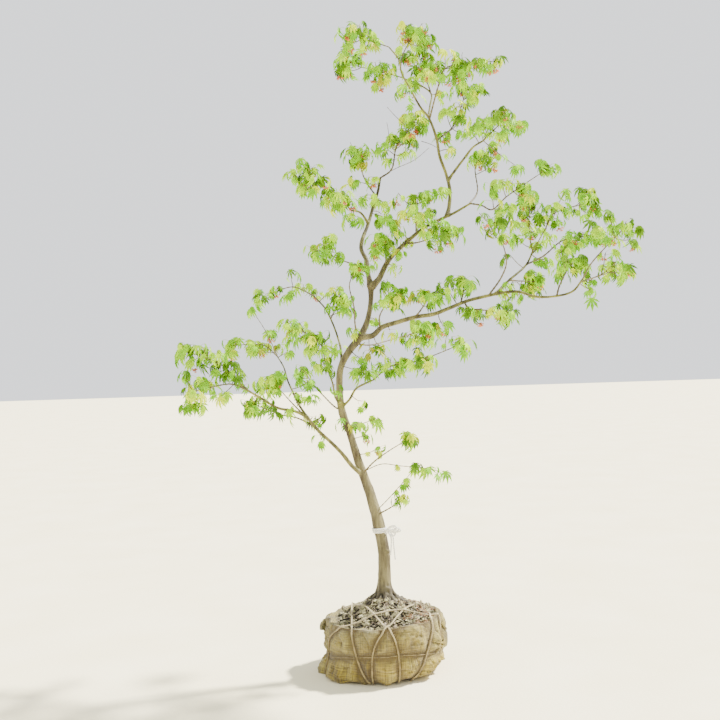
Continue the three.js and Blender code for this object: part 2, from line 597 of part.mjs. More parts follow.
function girdleSolid() {
  const SECTION = 4;
  const REST = ROPE_DIAMETER / 2 + 1.1; // from burlap to the string's middle
  const [BELOW, ABOVE] = WRAP_LEVELS.slice(3); // the burlap's levels that the string runs between
  const rings = Array.from({ length: WRAP_SEGMENTS }, (_, i) => {
    const turn = (2 * Math.PI * i) / WRAP_SEGMENTS;
    const share = (girdleHeight(turn) - BELOW) / (ABOVE - BELOW);
    const skin = THREE.MathUtils.lerp(wrapRadius(turn, BELOW), wrapRadius(turn, ABOVE), share);
    return Array.from({ length: SECTION }, (_, k) => {
      const angle = (2 * Math.PI * k) / SECTION;
      const radius = skin + REST + 0.5 * ROPE_DIAMETER * Math.cos(angle);
      const height = girdleHeight(turn) + 0.5 * ROPE_DIAMETER * Math.sin(angle);
      return new THREE.Vector3(radius * Math.cos(turn), radius * Math.sin(turn), height);
    });
  });
  const triangles = [];
  for (let i = 0; i < WRAP_SEGMENTS; i++) {
    const next = (i + 1) % WRAP_SEGMENTS;
    for (let k = 0; k < SECTION; k++) {
      const a = i * SECTION + k;
      const b = i * SECTION + ((k + 1) % SECTION);
      const c = next * SECTION + ((k + 1) % SECTION);
      const d = next * SECTION + k;
      triangles.push([a, c, b], [a, d, c]);
    }
  }
  return solidFrom(rings.flat(), triangles);
}

// Soft tie round the trunk, with a bow and two hanging tails

const TIE_BAND = [[-2, 396, 3], [-7, 413, 4]]; // lower and upper edge, on the trunk's middle
const TIE_GIRTH = 43;
const TIE_STRAND = 5;
const TIE_KNOT = [13, 404, -8];
// Steps from the knot to the right, behind and up, along each loop and tail
const tieLoops = [
  [[0, 0, 0], [20, -8, 9], [38, -10, 4], [40, -10, -2], [20, -8, -5], [0, 0, -2]],
  [[0, 0, 0], [12, -14, 10], [26, -22, 12], [29, -22, 6], [12, -12, 0]],
];
const tieTails = [
  [[0, -2, 0], [18, -10, -14], [21, -10, -44], [24, -10, -84]],
  [[2, -4, 0], [13, -14, -18], [13, -14, -46], [10, -13, -70]],
];

function tieSolid(trunk) {
  const knot = seen(TIE_KNOT);
  const band = limbSolid(curveThrough(TIE_BAND.map(seen)), () => TIE_GIRTH, 10, 1);
  const strands = [...tieLoops, ...tieTails].map((steps) => {
    const points = steps.map((step) => new THREE.Vector3(...step).add(knot));
    return limbSolid(curveThrough(points), () => TIE_STRAND, 4, 5);
  });
  return mainPiece(joined([band, ...strands]).subtract(trunk.grown));
}

// Assembly

const tree = new THREE.Group();

function addPart(name, solid, material) {
  const { vertProperties, triVerts, numProp } = solid.getMesh();
  const geometry = new THREE.BufferGeometry();
  const positions = new Float32Array((vertProperties.length / numProp) * 3);
  for (let i = 0; i < positions.length / 3; i++) {
    positions.set(vertProperties.subarray(i * numProp, i * numProp + 3), i * 3);
  }
  geometry.setAttribute("position", new THREE.BufferAttribute(positions, 3));
  geometry.setIndex(new THREE.BufferAttribute(triVerts, 1));
  const mesh = new THREE.Mesh(geometry, material);
  mesh.name = name;
  tree.add(mesh);
}

const finish = (color, roughness) => new THREE.MeshStandardMaterial({ color, roughness, metalness: 0 });
const bark = finish(0x9a8a6c, 0.85);
const leaf = finish(0x86b440, 0.55);
const burlap = finish(0xa8925c, 0.95);
const soil = finish(0x5c5147, 1);
const jute = finish(0xb5a882, 0.9);
const cotton = finish(0xe9e7df, 0.8);

addTrunk();
boughs.forEach(addBough);
for (const [name, limb] of limbs) addPart(name, limb.solid, bark);

const stems = masses.map(growStem);
const limbObstacles = [...limbs.values()].map((limb) => withBox(limb.solid));
const grownMasses = [];
stems.forEach((mass, index) => {
  const otherStems = stems.slice(index + 1).map((other) => withBox(other.solid));
  const solid = growLeaves(mass, 11 + 7 * index, [...limbObstacles, ...otherStems, ...grownMasses]);
  grownMasses.push(withBox(solid));
  addPart(mass.name, solid, leaf);
});

addPart("root_ball_soil", soilSolid(0), soil);
const knotted = joined(knots.map(knotSolid)).subtract(soilSolid(GAP));
addPart("burlap_wrap", mainPiece(wrapSolid().add(knotted)), burlap);
addPart("jute_lacing", mainPiece(joined([...lacing.map(lacingSolid), girdleSolid()])), jute);
addPart("trunk_tie", tieSolid(limbs.get("trunk")), cotton);

export default tree;
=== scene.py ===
"""The looks of a young Japanese maple on its wrapped root ball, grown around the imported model.

Lengths are millimetres until a mesh is made from them. X runs to the right and Y away from the
viewer who stands before the tree, and Z is up from the flat underside of the ball.
"""

import math

import bpy
import numpy as np
from mathutils import Matrix, Vector, kdtree, noise


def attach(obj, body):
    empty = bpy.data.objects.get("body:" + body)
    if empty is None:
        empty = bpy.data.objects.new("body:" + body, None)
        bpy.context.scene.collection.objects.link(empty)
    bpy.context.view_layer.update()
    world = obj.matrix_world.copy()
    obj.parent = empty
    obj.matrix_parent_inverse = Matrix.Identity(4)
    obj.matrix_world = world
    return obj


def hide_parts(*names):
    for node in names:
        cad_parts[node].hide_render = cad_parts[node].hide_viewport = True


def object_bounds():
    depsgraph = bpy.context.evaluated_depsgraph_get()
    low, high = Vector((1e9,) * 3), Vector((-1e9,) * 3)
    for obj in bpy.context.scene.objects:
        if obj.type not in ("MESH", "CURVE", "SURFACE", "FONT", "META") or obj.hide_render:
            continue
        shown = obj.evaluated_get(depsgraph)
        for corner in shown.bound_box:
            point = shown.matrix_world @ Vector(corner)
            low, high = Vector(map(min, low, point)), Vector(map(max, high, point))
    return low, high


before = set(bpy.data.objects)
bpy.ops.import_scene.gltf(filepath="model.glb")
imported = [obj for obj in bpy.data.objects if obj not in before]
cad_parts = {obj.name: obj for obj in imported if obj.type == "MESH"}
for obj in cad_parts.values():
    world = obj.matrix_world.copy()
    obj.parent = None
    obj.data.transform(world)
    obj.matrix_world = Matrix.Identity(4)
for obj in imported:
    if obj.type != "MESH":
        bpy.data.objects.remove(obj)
cad_box = [list(corner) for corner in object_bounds()]

MM = 0.001
box_low, box_high = (np.array(corner) / MM for corner in cad_box)
UP = np.array([0.0, 0.0, 1.0])

# Driving dimensions, the same as the solids'
BALL_RADIUS = 168  # widest radius of the wrapped root ball
RIM_HEIGHT = 162  # top edge of the burlap
WRAP_THICKNESS = 4
CROWN_OF_SOIL = 200  # soil level at the trunk
SOIL_EDGE = 150  # soil level where it meets the burlap
TRUNK_SEAT_RADIUS = 46
ROPE_DIAMETER = 7
SOIL_RADIUS = BALL_RADIUS - WRAP_THICKNESS

# Limbs are placed as they are seen. A point is (across, up, behind): the first two say where it
# shows on the upright plane through the trunk's foot, looked at from VIEWPOINT, and the third how
# far behind that plane it really lies (before it where negative).
VIEWPOINT = np.array([-48.0, -2824.0, 895.0])


def seen(point):
    """Where a point of the plan really lies"""
    across, up, behind = (*point, 0)[:3]
    stretch = (behind - VIEWPOINT[1]) / -VIEWPOINT[1]
    return (np.array([across, 0.0, up]) - VIEWPOINT) * stretch + VIEWPOINT


def shown_at(points):
    """Where real points show on the upright plane"""
    points = np.asarray(points, float)
    stretch = -VIEWPOINT[1] / (points[..., 1:2] - VIEWPOINT[1])
    return (points - VIEWPOINT) * stretch + VIEWPOINT


def seeded(seed):
    """A repeatable run of numbers from 0 to 1"""
    state = seed

    def draw(low=0.0, high=1.0):
        nonlocal state
        state = state * 16807 % 2147483647
        return low + (high - low) * state / 2147483647

    return draw


def unit(vector):
    return vector / np.linalg.norm(vector)


def turned(vector, axis, angle):
    """vector turned about a unit axis"""
    cos, sin = math.cos(angle), math.sin(angle)
    return vector * cos + np.cross(axis, vector) * sin + axis * np.dot(axis, vector) * (1 - cos)


# Paths


class Path:
    """A smooth path through points (centripetal Catmull-Rom), walked by its length"""

    PER_SPAN = 24

    def __init__(self, points):
        points = [np.asarray(p, float) for p in points]
        self.spans = len(points) - 1
        ends = [2 * points[0] - points[1], *points, 2 * points[-1] - points[-2]]
        rows = []
        for before, start, stop, after in zip(ends, ends[1:], ends[2:], ends[3:]):
            gaps = [math.sqrt(np.linalg.norm(b - a)) for a, b in
                    ((before, start), (start, stop), (stop, after))]
            g0, g1, g2 = (max(g, 1e-3) for g in gaps)
            leave = ((start - before) / g0 - (stop - before) / (g0 + g1) + (stop - start) / g1) * g1
            arrive = ((stop - start) / g1 - (after - start) / (g1 + g2) + (after - stop) / g2) * g1
            square = 3 * (stop - start) - 2 * leave - arrive
            cube = 2 * (start - stop) + leave + arrive
            for i in range(self.PER_SPAN):
                t = i / self.PER_SPAN
                rows.append(start + leave * t + square * t**2 + cube * t**3)
        rows.append(points[-1])
        self.rows = np.array(rows)
        steps = np.linalg.norm(np.diff(self.rows, axis=0), axis=1)
        self.lengths = np.concatenate([[0.0], np.cumsum(steps)])
        self.length = self.lengths[-1]

    def at(self, share):
        place = np.clip(share, 0, 1) * self.length
        return np.stack([np.interp(place, self.lengths, self.rows[:, i]) for i in range(3)], -1)

    def along(self, share):
        step = 0.5 / self.length
        return unit(self.at(min(share + step, 1)) - self.at(max(share - step, 0)))

    def points_passed(self, share):
        """The share of the path's given points that is passed at a share of its length"""
        place = np.clip(share, 0, 1) * self.length
        return np.interp(place, self.lengths, np.linspace(0, 1, len(self.rows)))

    def share_nearest(self, across, up):
        """The place that shows nearest to a point of the upright plane"""
        shares = np.linspace(0, 1, 201)
        shown = shown_at(self.at(shares))
        return shares[np.argmin(np.hypot(shown[:, 0] - across, shown[:, 2] - up))]


def frames_along(points):
    """Two directions across the path at each point, with no twist between one point and the next"""
    ahead = np.gradient(points, axis=0)
    ahead /= np.linalg.norm(ahead, axis=1)[:, None]
    side = np.cross(ahead[0], UP if abs(ahead[0][2]) < 0.9 else np.array([1.0, 0, 0]))
    sides = []
    for direction in ahead:
        side = unit(side - direction * np.dot(side, direction))
        sides.append(side)
    sides = np.array(sides)
    return sides, np.cross(ahead, sides)


# Meshes


def grid_faces(rings, sides):
    """Four-cornered faces between closed rings of points, with one point for each side"""
    faces = []
    for ring in range(rings - 1):
        for k in range(sides):
            a, b = ring * sides + k, ring * sides + (k + 1) % sides
            faces.append((a, b, b + sides, a + sides))
    return faces


def last_ring(rings, sides):
    """The face that closes the last of these rings"""
    return tuple(range((rings - 1) * sides, rings * sides))


def tree_of(points):
    """A search tree for the point nearest to a place"""
    tree = kdtree.KDTree(len(points))
    for i, point in enumerate(points):
        tree.insert(Vector(point), i)
    tree.balance()
    return tree


def keep_on_points(mesh, name, values):
    """Keeps a number or a vector for each point of a mesh, for its material to read"""
    values = np.asarray(values, np.float32)
    kind, field = ("FLOAT", "value") if values.ndim == 1 else ("FLOAT_VECTOR", "vector")
    mesh.attributes.new(name, kind, "POINT").data.foreach_set(field, values.ravel())


class Heap:
    """Pieces gathered for one joined mesh"""

    def __init__(self):
        self.points, self.faces, self.count = [], [], 0

    def add(self, points, faces):
        self.faces += [[i + self.count for i in face] for face in faces]
        self.points.append(np.asarray(points, float))
        self.count += len(points)

    def tube(self, points, radii, sides):
        """A round tube along points, with a radius for each"""
        points, radii = np.asarray(points, float), np.asarray(radii, float)
        across, over = frames_along(points)
        turns = 2 * math.pi * np.arange(sides) / sides
        rings = points[:, None] + radii[:, None, None] * (
            np.cos(turns)[None, :, None] * across[:, None] + np.sin(turns)[None, :, None] * over[:, None]
        )
        ends = [tuple(range(sides))[::-1], last_ring(len(points), sides)]
        self.add(rings.reshape(-1, 3), grid_faces(len(points), sides) + ends)

    def to_object(self, name, material, smooth=True):
        """The heap as one object, in metres"""
        mesh = bpy.data.meshes.new(name)
        mesh.from_pydata((np.concatenate(self.points) * MM).tolist(), [], self.faces)
        mesh.materials.append(material)
        if smooth:
            mesh.shade_smooth()
        else:
            mesh.shade_flat()
        mesh.update()
        piece = bpy.data.objects.new(name, mesh)
        bpy.context.scene.collection.objects.link(piece)
        return piece


def dressed(piece, slot, *nodes):
    """Puts a piece on the body that it rides on and hides the nodes that it stands for; slot is not used
    """
    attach(piece, "root")
    if nodes:
        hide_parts(*nodes)
    return piece


# The tree's plan, as it is seen

# The trunk's path as (across, up, behind), and how thick it is at each of these points
TRUNK_PATH = [
    [3, 190, 0], [3, 240, 0], [5, 335, 0], [-9, 425, 4], [-27, 500, 8], [-43, 552, 12], [-60, 603, 12],
    [-87, 700, 8], [-105, 755, 4], [-111, 825, 0], [-104, 890, -6], [-76, 938, -8], [-46, 974, -8],
    [-22, 1025, -4], [-11, 1080, 0], [-9, 1130, 0],
]
TRUNK_GIRTHS = [44, 40, 35, 36, 31, 28, 26, 20, 23, 20, 19, 21, 23, 15, 15, 19]

# Each bough: its name, the limb that it leaves, its path, and how thick it is at foot and tip
BOUGHS = [
    ["left_leader", "trunk", [[-12, 1120], [-17, 1165, 15], [-20, 1200, 30], [-34, 1232, 45],
        [-31, 1258, 58], [-13, 1302, 85], [3, 1350, 105], [20, 1400, 120], [28, 1440, 125]], 15, 7],
    ["right_leader", "trunk", [[-6, 1118], [14, 1142, -12], [38, 1186, -5], [62, 1216, 8], [101, 1250, 28],
        [150, 1288, 44], [190, 1308, 50], [237, 1328, 50], [291, 1357, 40]], 17, 6],
    ["top_stem", "right_leader", [[222, 1322], [229, 1355, 62], [232, 1400, 70], [222, 1448, 64],
        [205, 1500, 54], [198, 1550, 44], [176, 1615, 30], [153, 1646, 18], [124, 1702, 0],
        [101, 1748, -20], [94, 1787, -36], [66, 1826, -50]], 12, 4],
    ["arching_bough", "top_stem", [[176, 1615], [182, 1650, 62], [186, 1684, 92], [160, 1707, 108],
        [100, 1735, 104]], 7, 4],
    ["right_middle_bough", "top_stem", [[229, 1428], [244, 1449, 30], [276, 1489, -20], [305, 1523, -60],
        [335, 1541, -86]], 9, 5],
    ["upper_left_bough", "left_leader", [[-12, 1308], [-33, 1340, 50], [-62, 1349, 15]], 8, 5],
    ["right_bough", "trunk", [[-42, 974], [-10, 977, -22], [20, 1001, -32], [67, 1015, -46],
        [119, 1028, -60], [173, 1035, -70], [222, 1052, -75], [271, 1070, -80], [328, 1083, -82],
        [400, 1094, -95], [429, 1092, -110], [473, 1077, -130], [538, 1077, -160], [585, 1090, -180],
        [614, 1124, -195]], 16, 5],
    ["right_rising_bough", "right_bough", [[358, 1088], [395, 1125, -40], [450, 1172, 20],
        [470, 1210, 50]], 9, 5],
    ["low_right_bough", "trunk", [[-108, 770], [-84, 790, -14], [-63, 822, -46], [-33, 838, -84],
        [-10, 847, -110]], 8, 5],
    ["left_bough", "trunk", [[-52, 568], [-78, 593, -12], [-113, 638, -35], [-145, 672, -50],
        [-177, 703, -60], [-210, 743, -70], [-244, 762, -80], [-293, 773, -100], [-337, 800, -125],
        [-387, 833, -150], [-418, 865, -165]], 13, 5],
    ["left_rising_bough", "left_bough", [[-206, 739], [-234, 785, -20], [-248, 818, 20],
        [-262, 852, 60], [-273, 893, 92], [-290, 924, 115]], 8, 4],
    ["left_front_bough", "trunk", [[-108, 772], [-124, 800, -42], [-130, 838, -86],
        [-135, 856, -102]], 7, 5],
    ["left_upright_bough", "trunk", [[-102, 892], [-103, 937, 48], [-112, 978, 90], [-127, 1022, 122],
        [-146, 1062, 146], [-178, 1100, 166]], 8, 4.5],
]

# Each mass of leaves: its name, the limb that it grows on, the way of its stem (from the limb's tip
# where it starts with None) and its spaces: the middle, and half the size along X, Y and Z
MASSES = [
    ["leaves_top_left", "top_stem", [None], [[-12, 1854, -62, 66, 62, 32]]],
    ["leaves_top_right", "top_stem", [[100, 1762], [106, 1800, 4]], [[136, 1856, 36, 68, 62, 34]]],
    ["leaves_arch_tip", "arching_bough", [None],
        [[45, 1752, 84, 48, 46, 32], [-50, 1778, 72, 46, 50, 34]]],
    ["leaves_upper_middle", "arching_bough", [[186, 1682]], [[165, 1755, 134, 62, 62, 50]]],
    ["leaves_upper_front", "top_stem", [[178, 1608], [192, 1655, -14], [206, 1700, -52]],
        [[232, 1758, -84, 60, 60, 44], [352, 1772, -112, 54, 40, 24]]],
    ["leaves_right_shoulder", "top_stem", [[199, 1545]],
        [[252, 1592, 92, 60, 60, 40], [286, 1680, 58, 48, 56, 40]]],
    ["leaves_right_middle", "right_middle_bough", [None], [[385, 1588, -116, 68, 62, 36]]],
    ["leaves_right_rise", "right_leader", [[288, 1356], [313, 1392, 100]],
        [[312, 1475, 126, 46, 48, 40], [362, 1512, 120, 30, 34, 22]]],
    ["leaves_right_reach", "right_leader", [None, [325, 1350, 8], [354, 1337, -14]],
        [[400, 1375, -34, 76, 70, 40], [505, 1442, -66, 58, 40, 28]]],
    ["leaves_leader_tip", "left_leader", [None, [62, 1464, 130]],
        [[80, 1533, 136, 58, 60, 42], [128, 1595, 142, 40, 46, 30]]],
    ["leaves_leader_left", "left_leader", [[14, 1385], [-18, 1440, 104]],
        [[-36, 1510, 88, 42, 46, 34]]],
    ["leaves_upper_left", "upper_left_bough", [None],
        [[-90, 1385, -14, 46, 46, 36], [-182, 1442, -84, 46, 50, 38]]],
    ["leaves_fork_front", "right_leader", [[128, 1274]], [[130, 1350, -52, 58, 58, 40]]],
    ["leaves_fork_right", "right_leader", [[95, 1246], [131, 1247, -14]],
        [[200, 1266, -58, 54, 50, 36]]],
    ["leaves_fork_inner", "right_leader", [[36, 1182]], [[42, 1242, -64, 42, 44, 34]]],
    ["leaves_left_twig", "left_leader", [[-15, 1160], [-56, 1187, -12], [-95, 1203, -34]],
        [[-138, 1226, -60, 50, 50, 32]]],
    ["leaves_rising_bough", "right_rising_bough", [None],
        [[462, 1258, 66, 54, 54, 42], [465, 1345, 106, 44, 50, 48]]],
    ["leaves_right_slope", "right_bough", [[335, 1085], [377, 1140, -130], [392, 1185, -160]],
        [[368, 1285, -190, 52, 50, 42]]],
    ["leaves_far_right_top", "right_rising_bough", [[466, 1200], [500, 1240, 100]],
        [[530, 1315, 132, 40, 40, 36], [625, 1345, 156, 58, 55, 42]]],
    ["leaves_far_right_middle", "right_rising_bough", [[450, 1172], [500, 1195, 10]],
        [[560, 1240, -10, 54, 50, 32], [642, 1252, -30, 42, 44, 34]]],
    ["leaves_right_tip", "right_bough", [None, [640, 1168, -210]], [[724, 1254, -205, 46, 45, 46]]],
    ["leaves_far_right_low", "right_bough", [[608, 1114]], [[682, 1138, -150, 66, 58, 42]]],
    ["leaves_right_inner", "right_bough", [[538, 1077], [545, 1105, -150]],
        [[574, 1160, -128, 46, 46, 36]]],
    ["leaves_under_rise", "right_rising_bough", [[398, 1127]], [[460, 1122, 20, 50, 45, 30]]],
    ["leaves_right_hanging", "right_bough", [[265, 1066], [280, 1045, -100]],
        [[300, 1045, -112, 36, 38, 24], [375, 1033, -132, 32, 35, 26]]],
    ["leaves_right_upright", "right_bough", [[255, 1064]], [[270, 1128, -52, 38, 42, 36]]],
    ["leaves_right_short", "right_bough", [[119, 1028], [133, 1045, -78]],
        [[160, 1084, -100, 44, 40, 28]]],
    ["leaves_beside_trunk", "right_bough", [[12, 998], [14, 1034, -52]], [[45, 1085, -80, 36, 40, 40]]],
    ["leaves_behind", "trunk", [[-62, 956], [-16, 950, 70], [50, 965, 170]],
        [[130, 985, 250, 60, 60, 38]]],
    ["leaves_low_right", "low_right_bough", [None],
        [[40, 885, -152, 42, 40, 26], [120, 898, -192, 42, 40, 24], [235, 938, -240, 46, 45, 26]]],
    ["leaves_low_shoot", "trunk", [[-52, 570], [-18, 605, -30], [35, 641, -80]],
        [[84, 668, -108, 34, 35, 28]]],
    ["leaves_lowest_shoot", "trunk", [[-12, 448], [22, 467, -30]], [[62, 490, -50, 28, 30, 18]]],
    ["leaves_upright_tip", "left_upright_bough", [None],
        [[-240, 1128, 184, 58, 50, 32], [-325, 1100, 196, 38, 35, 26]]],
    ["leaves_upright_side", "left_upright_bough", [[-130, 1030]], [[-104, 1082, 112, 38, 44, 36]]],
    ["leaves_left_front", "left_front_bough", [None],
        [[-148, 893, -130, 30, 36, 28], [-166, 962, -172, 40, 44, 36], [-225, 1003, -190, 44, 45, 36]]],
    ["leaves_left_back", "trunk", [[-108, 758], [-127, 772, 40], [-153, 799, 90], [-182, 832, 138]],
        [[-215, 882, 186, 50, 48, 36]]],
    ["leaves_left_rising", "left_rising_bough", [None],
        [[-328, 958, 134, 54, 54, 30], [-412, 962, 144, 42, 45, 26]]],
    ["leaves_left_tip", "left_bough", [None],
        [[-452, 903, -170, 50, 54, 36], [-535, 940, -184, 66, 50, 30]]],
    ["leaves_left_drooping", "left_bough", [[-383, 830], [-433, 848, -194]],
        [[-525, 832, -222, 46, 48, 50]]],
    ["leaves_left_middle", "left_bough", [[-216, 747], [-253, 788, -30]],
        [[-302, 846, -10, 44, 45, 36]]],
    ["leaves_left_low", "left_bough", [[-188, 715], [-238, 742, -10], [-290, 755, 30]],
        [[-360, 785, 66, 46, 45, 24]]],
    ["leaves_bare_stem", "trunk", [[-52, 966], [-59, 1010, -60], [-61, 1065, -80], [-72, 1130, -86]],
        [[-50, 1176, -78, 28, 34, 22]]],
]

# Materials


class Material:
    """A node material: its shader's own values are set first, then its patterns are joined on"""

    def __init__(self, name, roughness, **values):
        self.made = bpy.data.materials.new(name)
        self.made.use_nodes = True
        self.tree = self.made.node_tree
        self.shader = self.tree.nodes["Principled BSDF"]
        self.shader.inputs["Roughness"].default_value = roughness
        for socket, value in values.items():
            self.shader.inputs[socket.replace("_", " ")].default_value = value

    def node(self, kind, inputs, **settings):
        """The first output of a new node, its inputs given as values or as other nodes' outputs"""
        node = self.tree.nodes.new("ShaderNode" + kind)
        for setting, value in settings.items():
            setattr(node, setting, value)
        for socket, value in inputs.items():
            if isinstance(value, bpy.types.NodeSocket):
                self.tree.links.new(value, node.inputs[socket])
            else:
                node.inputs[socket].default_value = value
        return node.outputs[0]

    def places(self, stretch=(1, 1, 1)):
        """Places on the object in metres, stretched before a pattern is laid on them"""
        coordinates = self.tree.nodes.new("ShaderNodeTexCoord").outputs["Object"]
        return self.node("Mapping", {"Vector": coordinates, "Scale": stretch})

    def place(self, axis):
        """How far along an axis a point of the object lies, in metres"""
        return self.node("SeparateXYZ", {"Vector": self.places()}).node.outputs[axis]

    def noise(self, scale, detail=4, places=None):
        return self.node("TexNoise", {"Vector": places or self.places(), "Scale": scale, "Detail": detail})

    def ramp(self, factor, *stops):
        """Colours along factor, each as (place, (red, green, blue))"""
        output = self.node("ValToRGB", {"Fac": factor})
        ramp = output.node.color_ramp
        while len(ramp.elements) < len(stops):
            ramp.elements.new(0.5)
        for element, (place, colour) in zip(ramp.elements, stops):
            element.position = place
            element.color = (*colour, 1)
        return output

    def mix(self, factor, first, second, blend="MIX"):
        node = self.tree.nodes.new("ShaderNodeMix")
        node.data_type = "RGBA"
        node.blend_type = blend
        for index, value in ((0, factor), (6, first), (7, second)):
            if isinstance(value, bpy.types.NodeSocket):
                self.tree.links.new(value, node.inputs[index])
            else:
                node.inputs[index].default_value = value if index == 0 else (*value, 1)
        return node.outputs[2]

    def between(self, factor, low, high):
        """low where factor is 0 and high where it is 1, and on past both"""
        return self.node("MapRange", {"Value": factor, "To Min": low, "To Max": high}, clamp=False)

    def rising(self, factor, start, end, top=1.0):
        """0 until factor gets to start, then up to top, where it gets to end"""
        return self.node("MapRange", {"Value": factor, "From Min": start, "From Max": end, "To Max": top})

    def combined(self, operation, first, second):
        return self.node("Math", {0: first, 1: second}, operation=operation)

    def attribute(self, name, output="Fac"):
        """What keep_on_points kept under this name"""
        return self.node("Attribute", {}, attribute_name=name).node.outputs[output]

    def finish(self, colour, relief, depth, roughness=None):
        """The made material, with its colour, its relief of a depth in metres and its roughness"""
        self.tree.links.new(colour, self.shader.inputs["Base Color"])
        if roughness is not None:
            self.tree.links.new(roughness, self.shader.inputs["Roughness"])
        bump = self.node("Bump", {"Height": relief, "Distance": depth, "Strength": 1.0})
        self.tree.links.new(bump, self.shader.inputs["Normal"])
        return self.made


def make_bark():
    """Streaks along the wood in brown and grey, green where it is young, crusted low on the trunk"""
    OLD = (0.36, (0.05, 0.031, 0.012)), (0.5, (0.125, 0.1, 0.038)), (0.64, (0.23, 0.19, 0.08))
    GREY = (0.4, (0.045, 0.041, 0.023)), (0.6, (0.14, 0.13, 0.075))
    YOUNG = (0.38, (0.034, 0.035, 0.004)), (0.5, (0.1, 0.105, 0.009)), (0.64, (0.19, 0.19, 0.02))
    CRUST = (0.06, 0.05, 0.034)
    CRUST_TOP, CRUST_FULL = 0.26, 0.205  # metres above the ball's underside
    material = Material("bark", 0.78)
    streaked = material.noise(55, 6, material.places((1, 1, 0.22)))
    patches = material.noise(22, 3)
    old, grey, young = (material.ramp(streaked, *stops) for stops in (OLD, GREY, YOUNG))
    colour = material.mix(material.between(patches, 0.1, 0.75), old, grey)
    colour = material.mix(material.attribute("youth"), colour, young)
    low = material.rising(material.place("Z"), CRUST_TOP, CRUST_FULL)
    crust = material.combined("MULTIPLY", low, material.between(streaked, 0.3, 1.4))
    colour = material.mix(crust, colour, CRUST)
    fine = material.noise(320, 5, material.places((1, 1, 0.4)))
    return material.finish(colour, fine, 0.0012, material.between(streaked, 0.9, 0.65))


def make_twig_material(name, dark, light):
    """Soft patches between two colours, for twigs and other thin things"""
    material = Material(name, 0.6)
    patches = material.noise(60, 3)
    colour = material.ramp(patches, (0.35, dark), (0.65, light))
    return material.finish(colour, material.noise(700, 2), 0.0004)


def make_leaf_material(name, dark, light):
    """A mottled blade, a little glossier where it is light"""
    material = Material(name, 0.55, Specular_IOR_Level=0.15)
    mottled = material.noise(38, 3)
    colour = material.ramp(mottled, (0.36, dark), (0.64, light))
    veins = material.noise(260, 3)
    return material.finish(colour, veins, 0.0006, material.between(mottled, 0.62, 0.48))


def make_burlap():
    """Two crossed waves over the cloth's own directions, with thick and thin threads in each"""
    THREAD_SPACING = 0.0026
    THREADS = 2 * math.pi / THREAD_SPACING / 20  # a wave of scale 1 turns by 20 radians in a metre
    STAINS = (0.36, (0.16, 0.11, 0.016)), (0.5, (0.39, 0.3, 0.036)), (0.64, (0.49, 0.405, 0.075))
    THREAD_SHADES = (0.1, (0.32, 0.28, 0.2)), (0.5, (0.9, 0.88, 0.84)), (0.8, (1.35, 1.35, 1.35))
    GAPS = (0.0, (0.5, 0.47, 0.42)), (0.4, (1.0, 1.0, 1.0))
    # The darkest brown: painted shade in the creases and under the ropes, and dark all over the underside
    # and towards the turned-in edge's inner rim
    DUST, SHADE_AND_DIRT = (0.35, 0.325, 0.14), (0.1, 0.065, 0.015)
    material = Material("burlap", 0.95, Sheen_Weight=0.2)
    cloth = material.attribute("cloth", "Vector")
    weaving = {"Vector": cloth, "Scale": THREADS, "Distortion": 1.4, "Detail": 2.0, "Detail Scale": 0.6}
    waves, slubs = [], []
    for direction, stretch in (("X", (300, 14, 1)), ("Y", (14, 300, 1))):
        waves.append(material.node("TexWave", weaving, bands_direction=direction))
        slubs.append(material.noise(1, 3, material.node("Mapping", {"Vector": cloth, "Scale": stretch})))
    weave = material.combined("MULTIPLY", *waves)
    threads = material.rising(material.combined("ADD", *slubs), 0.72, 1.28)
    stains = material.ramp(material.noise(13, 3), *STAINS)
    colour = material.mix(1.0, stains, material.ramp(threads, *THREAD_SHADES), "MULTIPLY")
    up_the_cloth = material.node("SeparateXYZ", {"Vector": cloth}).node.outputs["Y"]
    high = material.rising(up_the_cloth, 0.03, 0.16, 0.9)
    colour = material.mix(material.combined("MULTIPLY", high, material.noise(24, 4)), colour, DUST)
    colour = material.mix(0.7, colour, material.ramp(weave, *GAPS), "MULTIPLY")
    # Darkest where the cloth is drawn in, as painted shade in its creases and under the ropes, and on its
    # underside and turned-in edge
    colour = material.mix(material.attribute("dirt"), colour, SHADE_AND_DIRT)
    return material.finish(colour, material.combined("ADD", weave, threads), 0.002)


def make_rope_material():
    """Jute, pale over the soil and darker further down: partly soil and wear on it, partly painted shade
    where it sinks into the cloth
    """
    WORN_AND_SHADED = (0.34, (0.14, 0.1, 0.035)), (0.62, (0.36, 0.28, 0.12))
    FRESH = (0.3, (0.36, 0.3, 0.15)), (0.62, (0.62, 0.54, 0.34))
    BETWEEN_FIBRES = (0.16, 0.12, 0.05)
    material = Material("jute", 0.88, Sheen_Weight=0.2)
    # Pale over the rim. Lower down the colour is darkened, part wear and part painted shade in the grooves
    # of the cloth
    over_rim = material.rising(material.place("Z"), 0.115, 0.17)
    worn_and_shaded = material.ramp(material.noise(60, 4), *WORN_AND_SHADED)
    fresh = material.ramp(material.noise(45, 4), *FRESH)
    fibres = material.noise(900, 3)
    colour = material.mix(over_rim, worn_and_shaded, fresh)
    colour = material.mix(material.between(fibres, 0, 0.5), colour, BETWEEN_FIBRES)
    return material.finish(colour, fibres, 0.0006)


def make_cotton():
    """Fine fibres with a little grime"""
    SOILED, CLEAN = (0.8, 0.79, 0.74), (0.95, 0.94, 0.9)
    material = Material("cotton", 0.88, Sheen_Weight=0.3)
    fibres = material.noise(900, 3)
    colour = material.ramp(material.noise(45, 4), (0.3, SOILED), (0.62, CLEAN))
    colour = material.mix(material.between(fibres, 0, 0.5), colour, tuple(c * 0.7 for c in SOILED))
    return material.finish(colour, fibres, 0.0004)


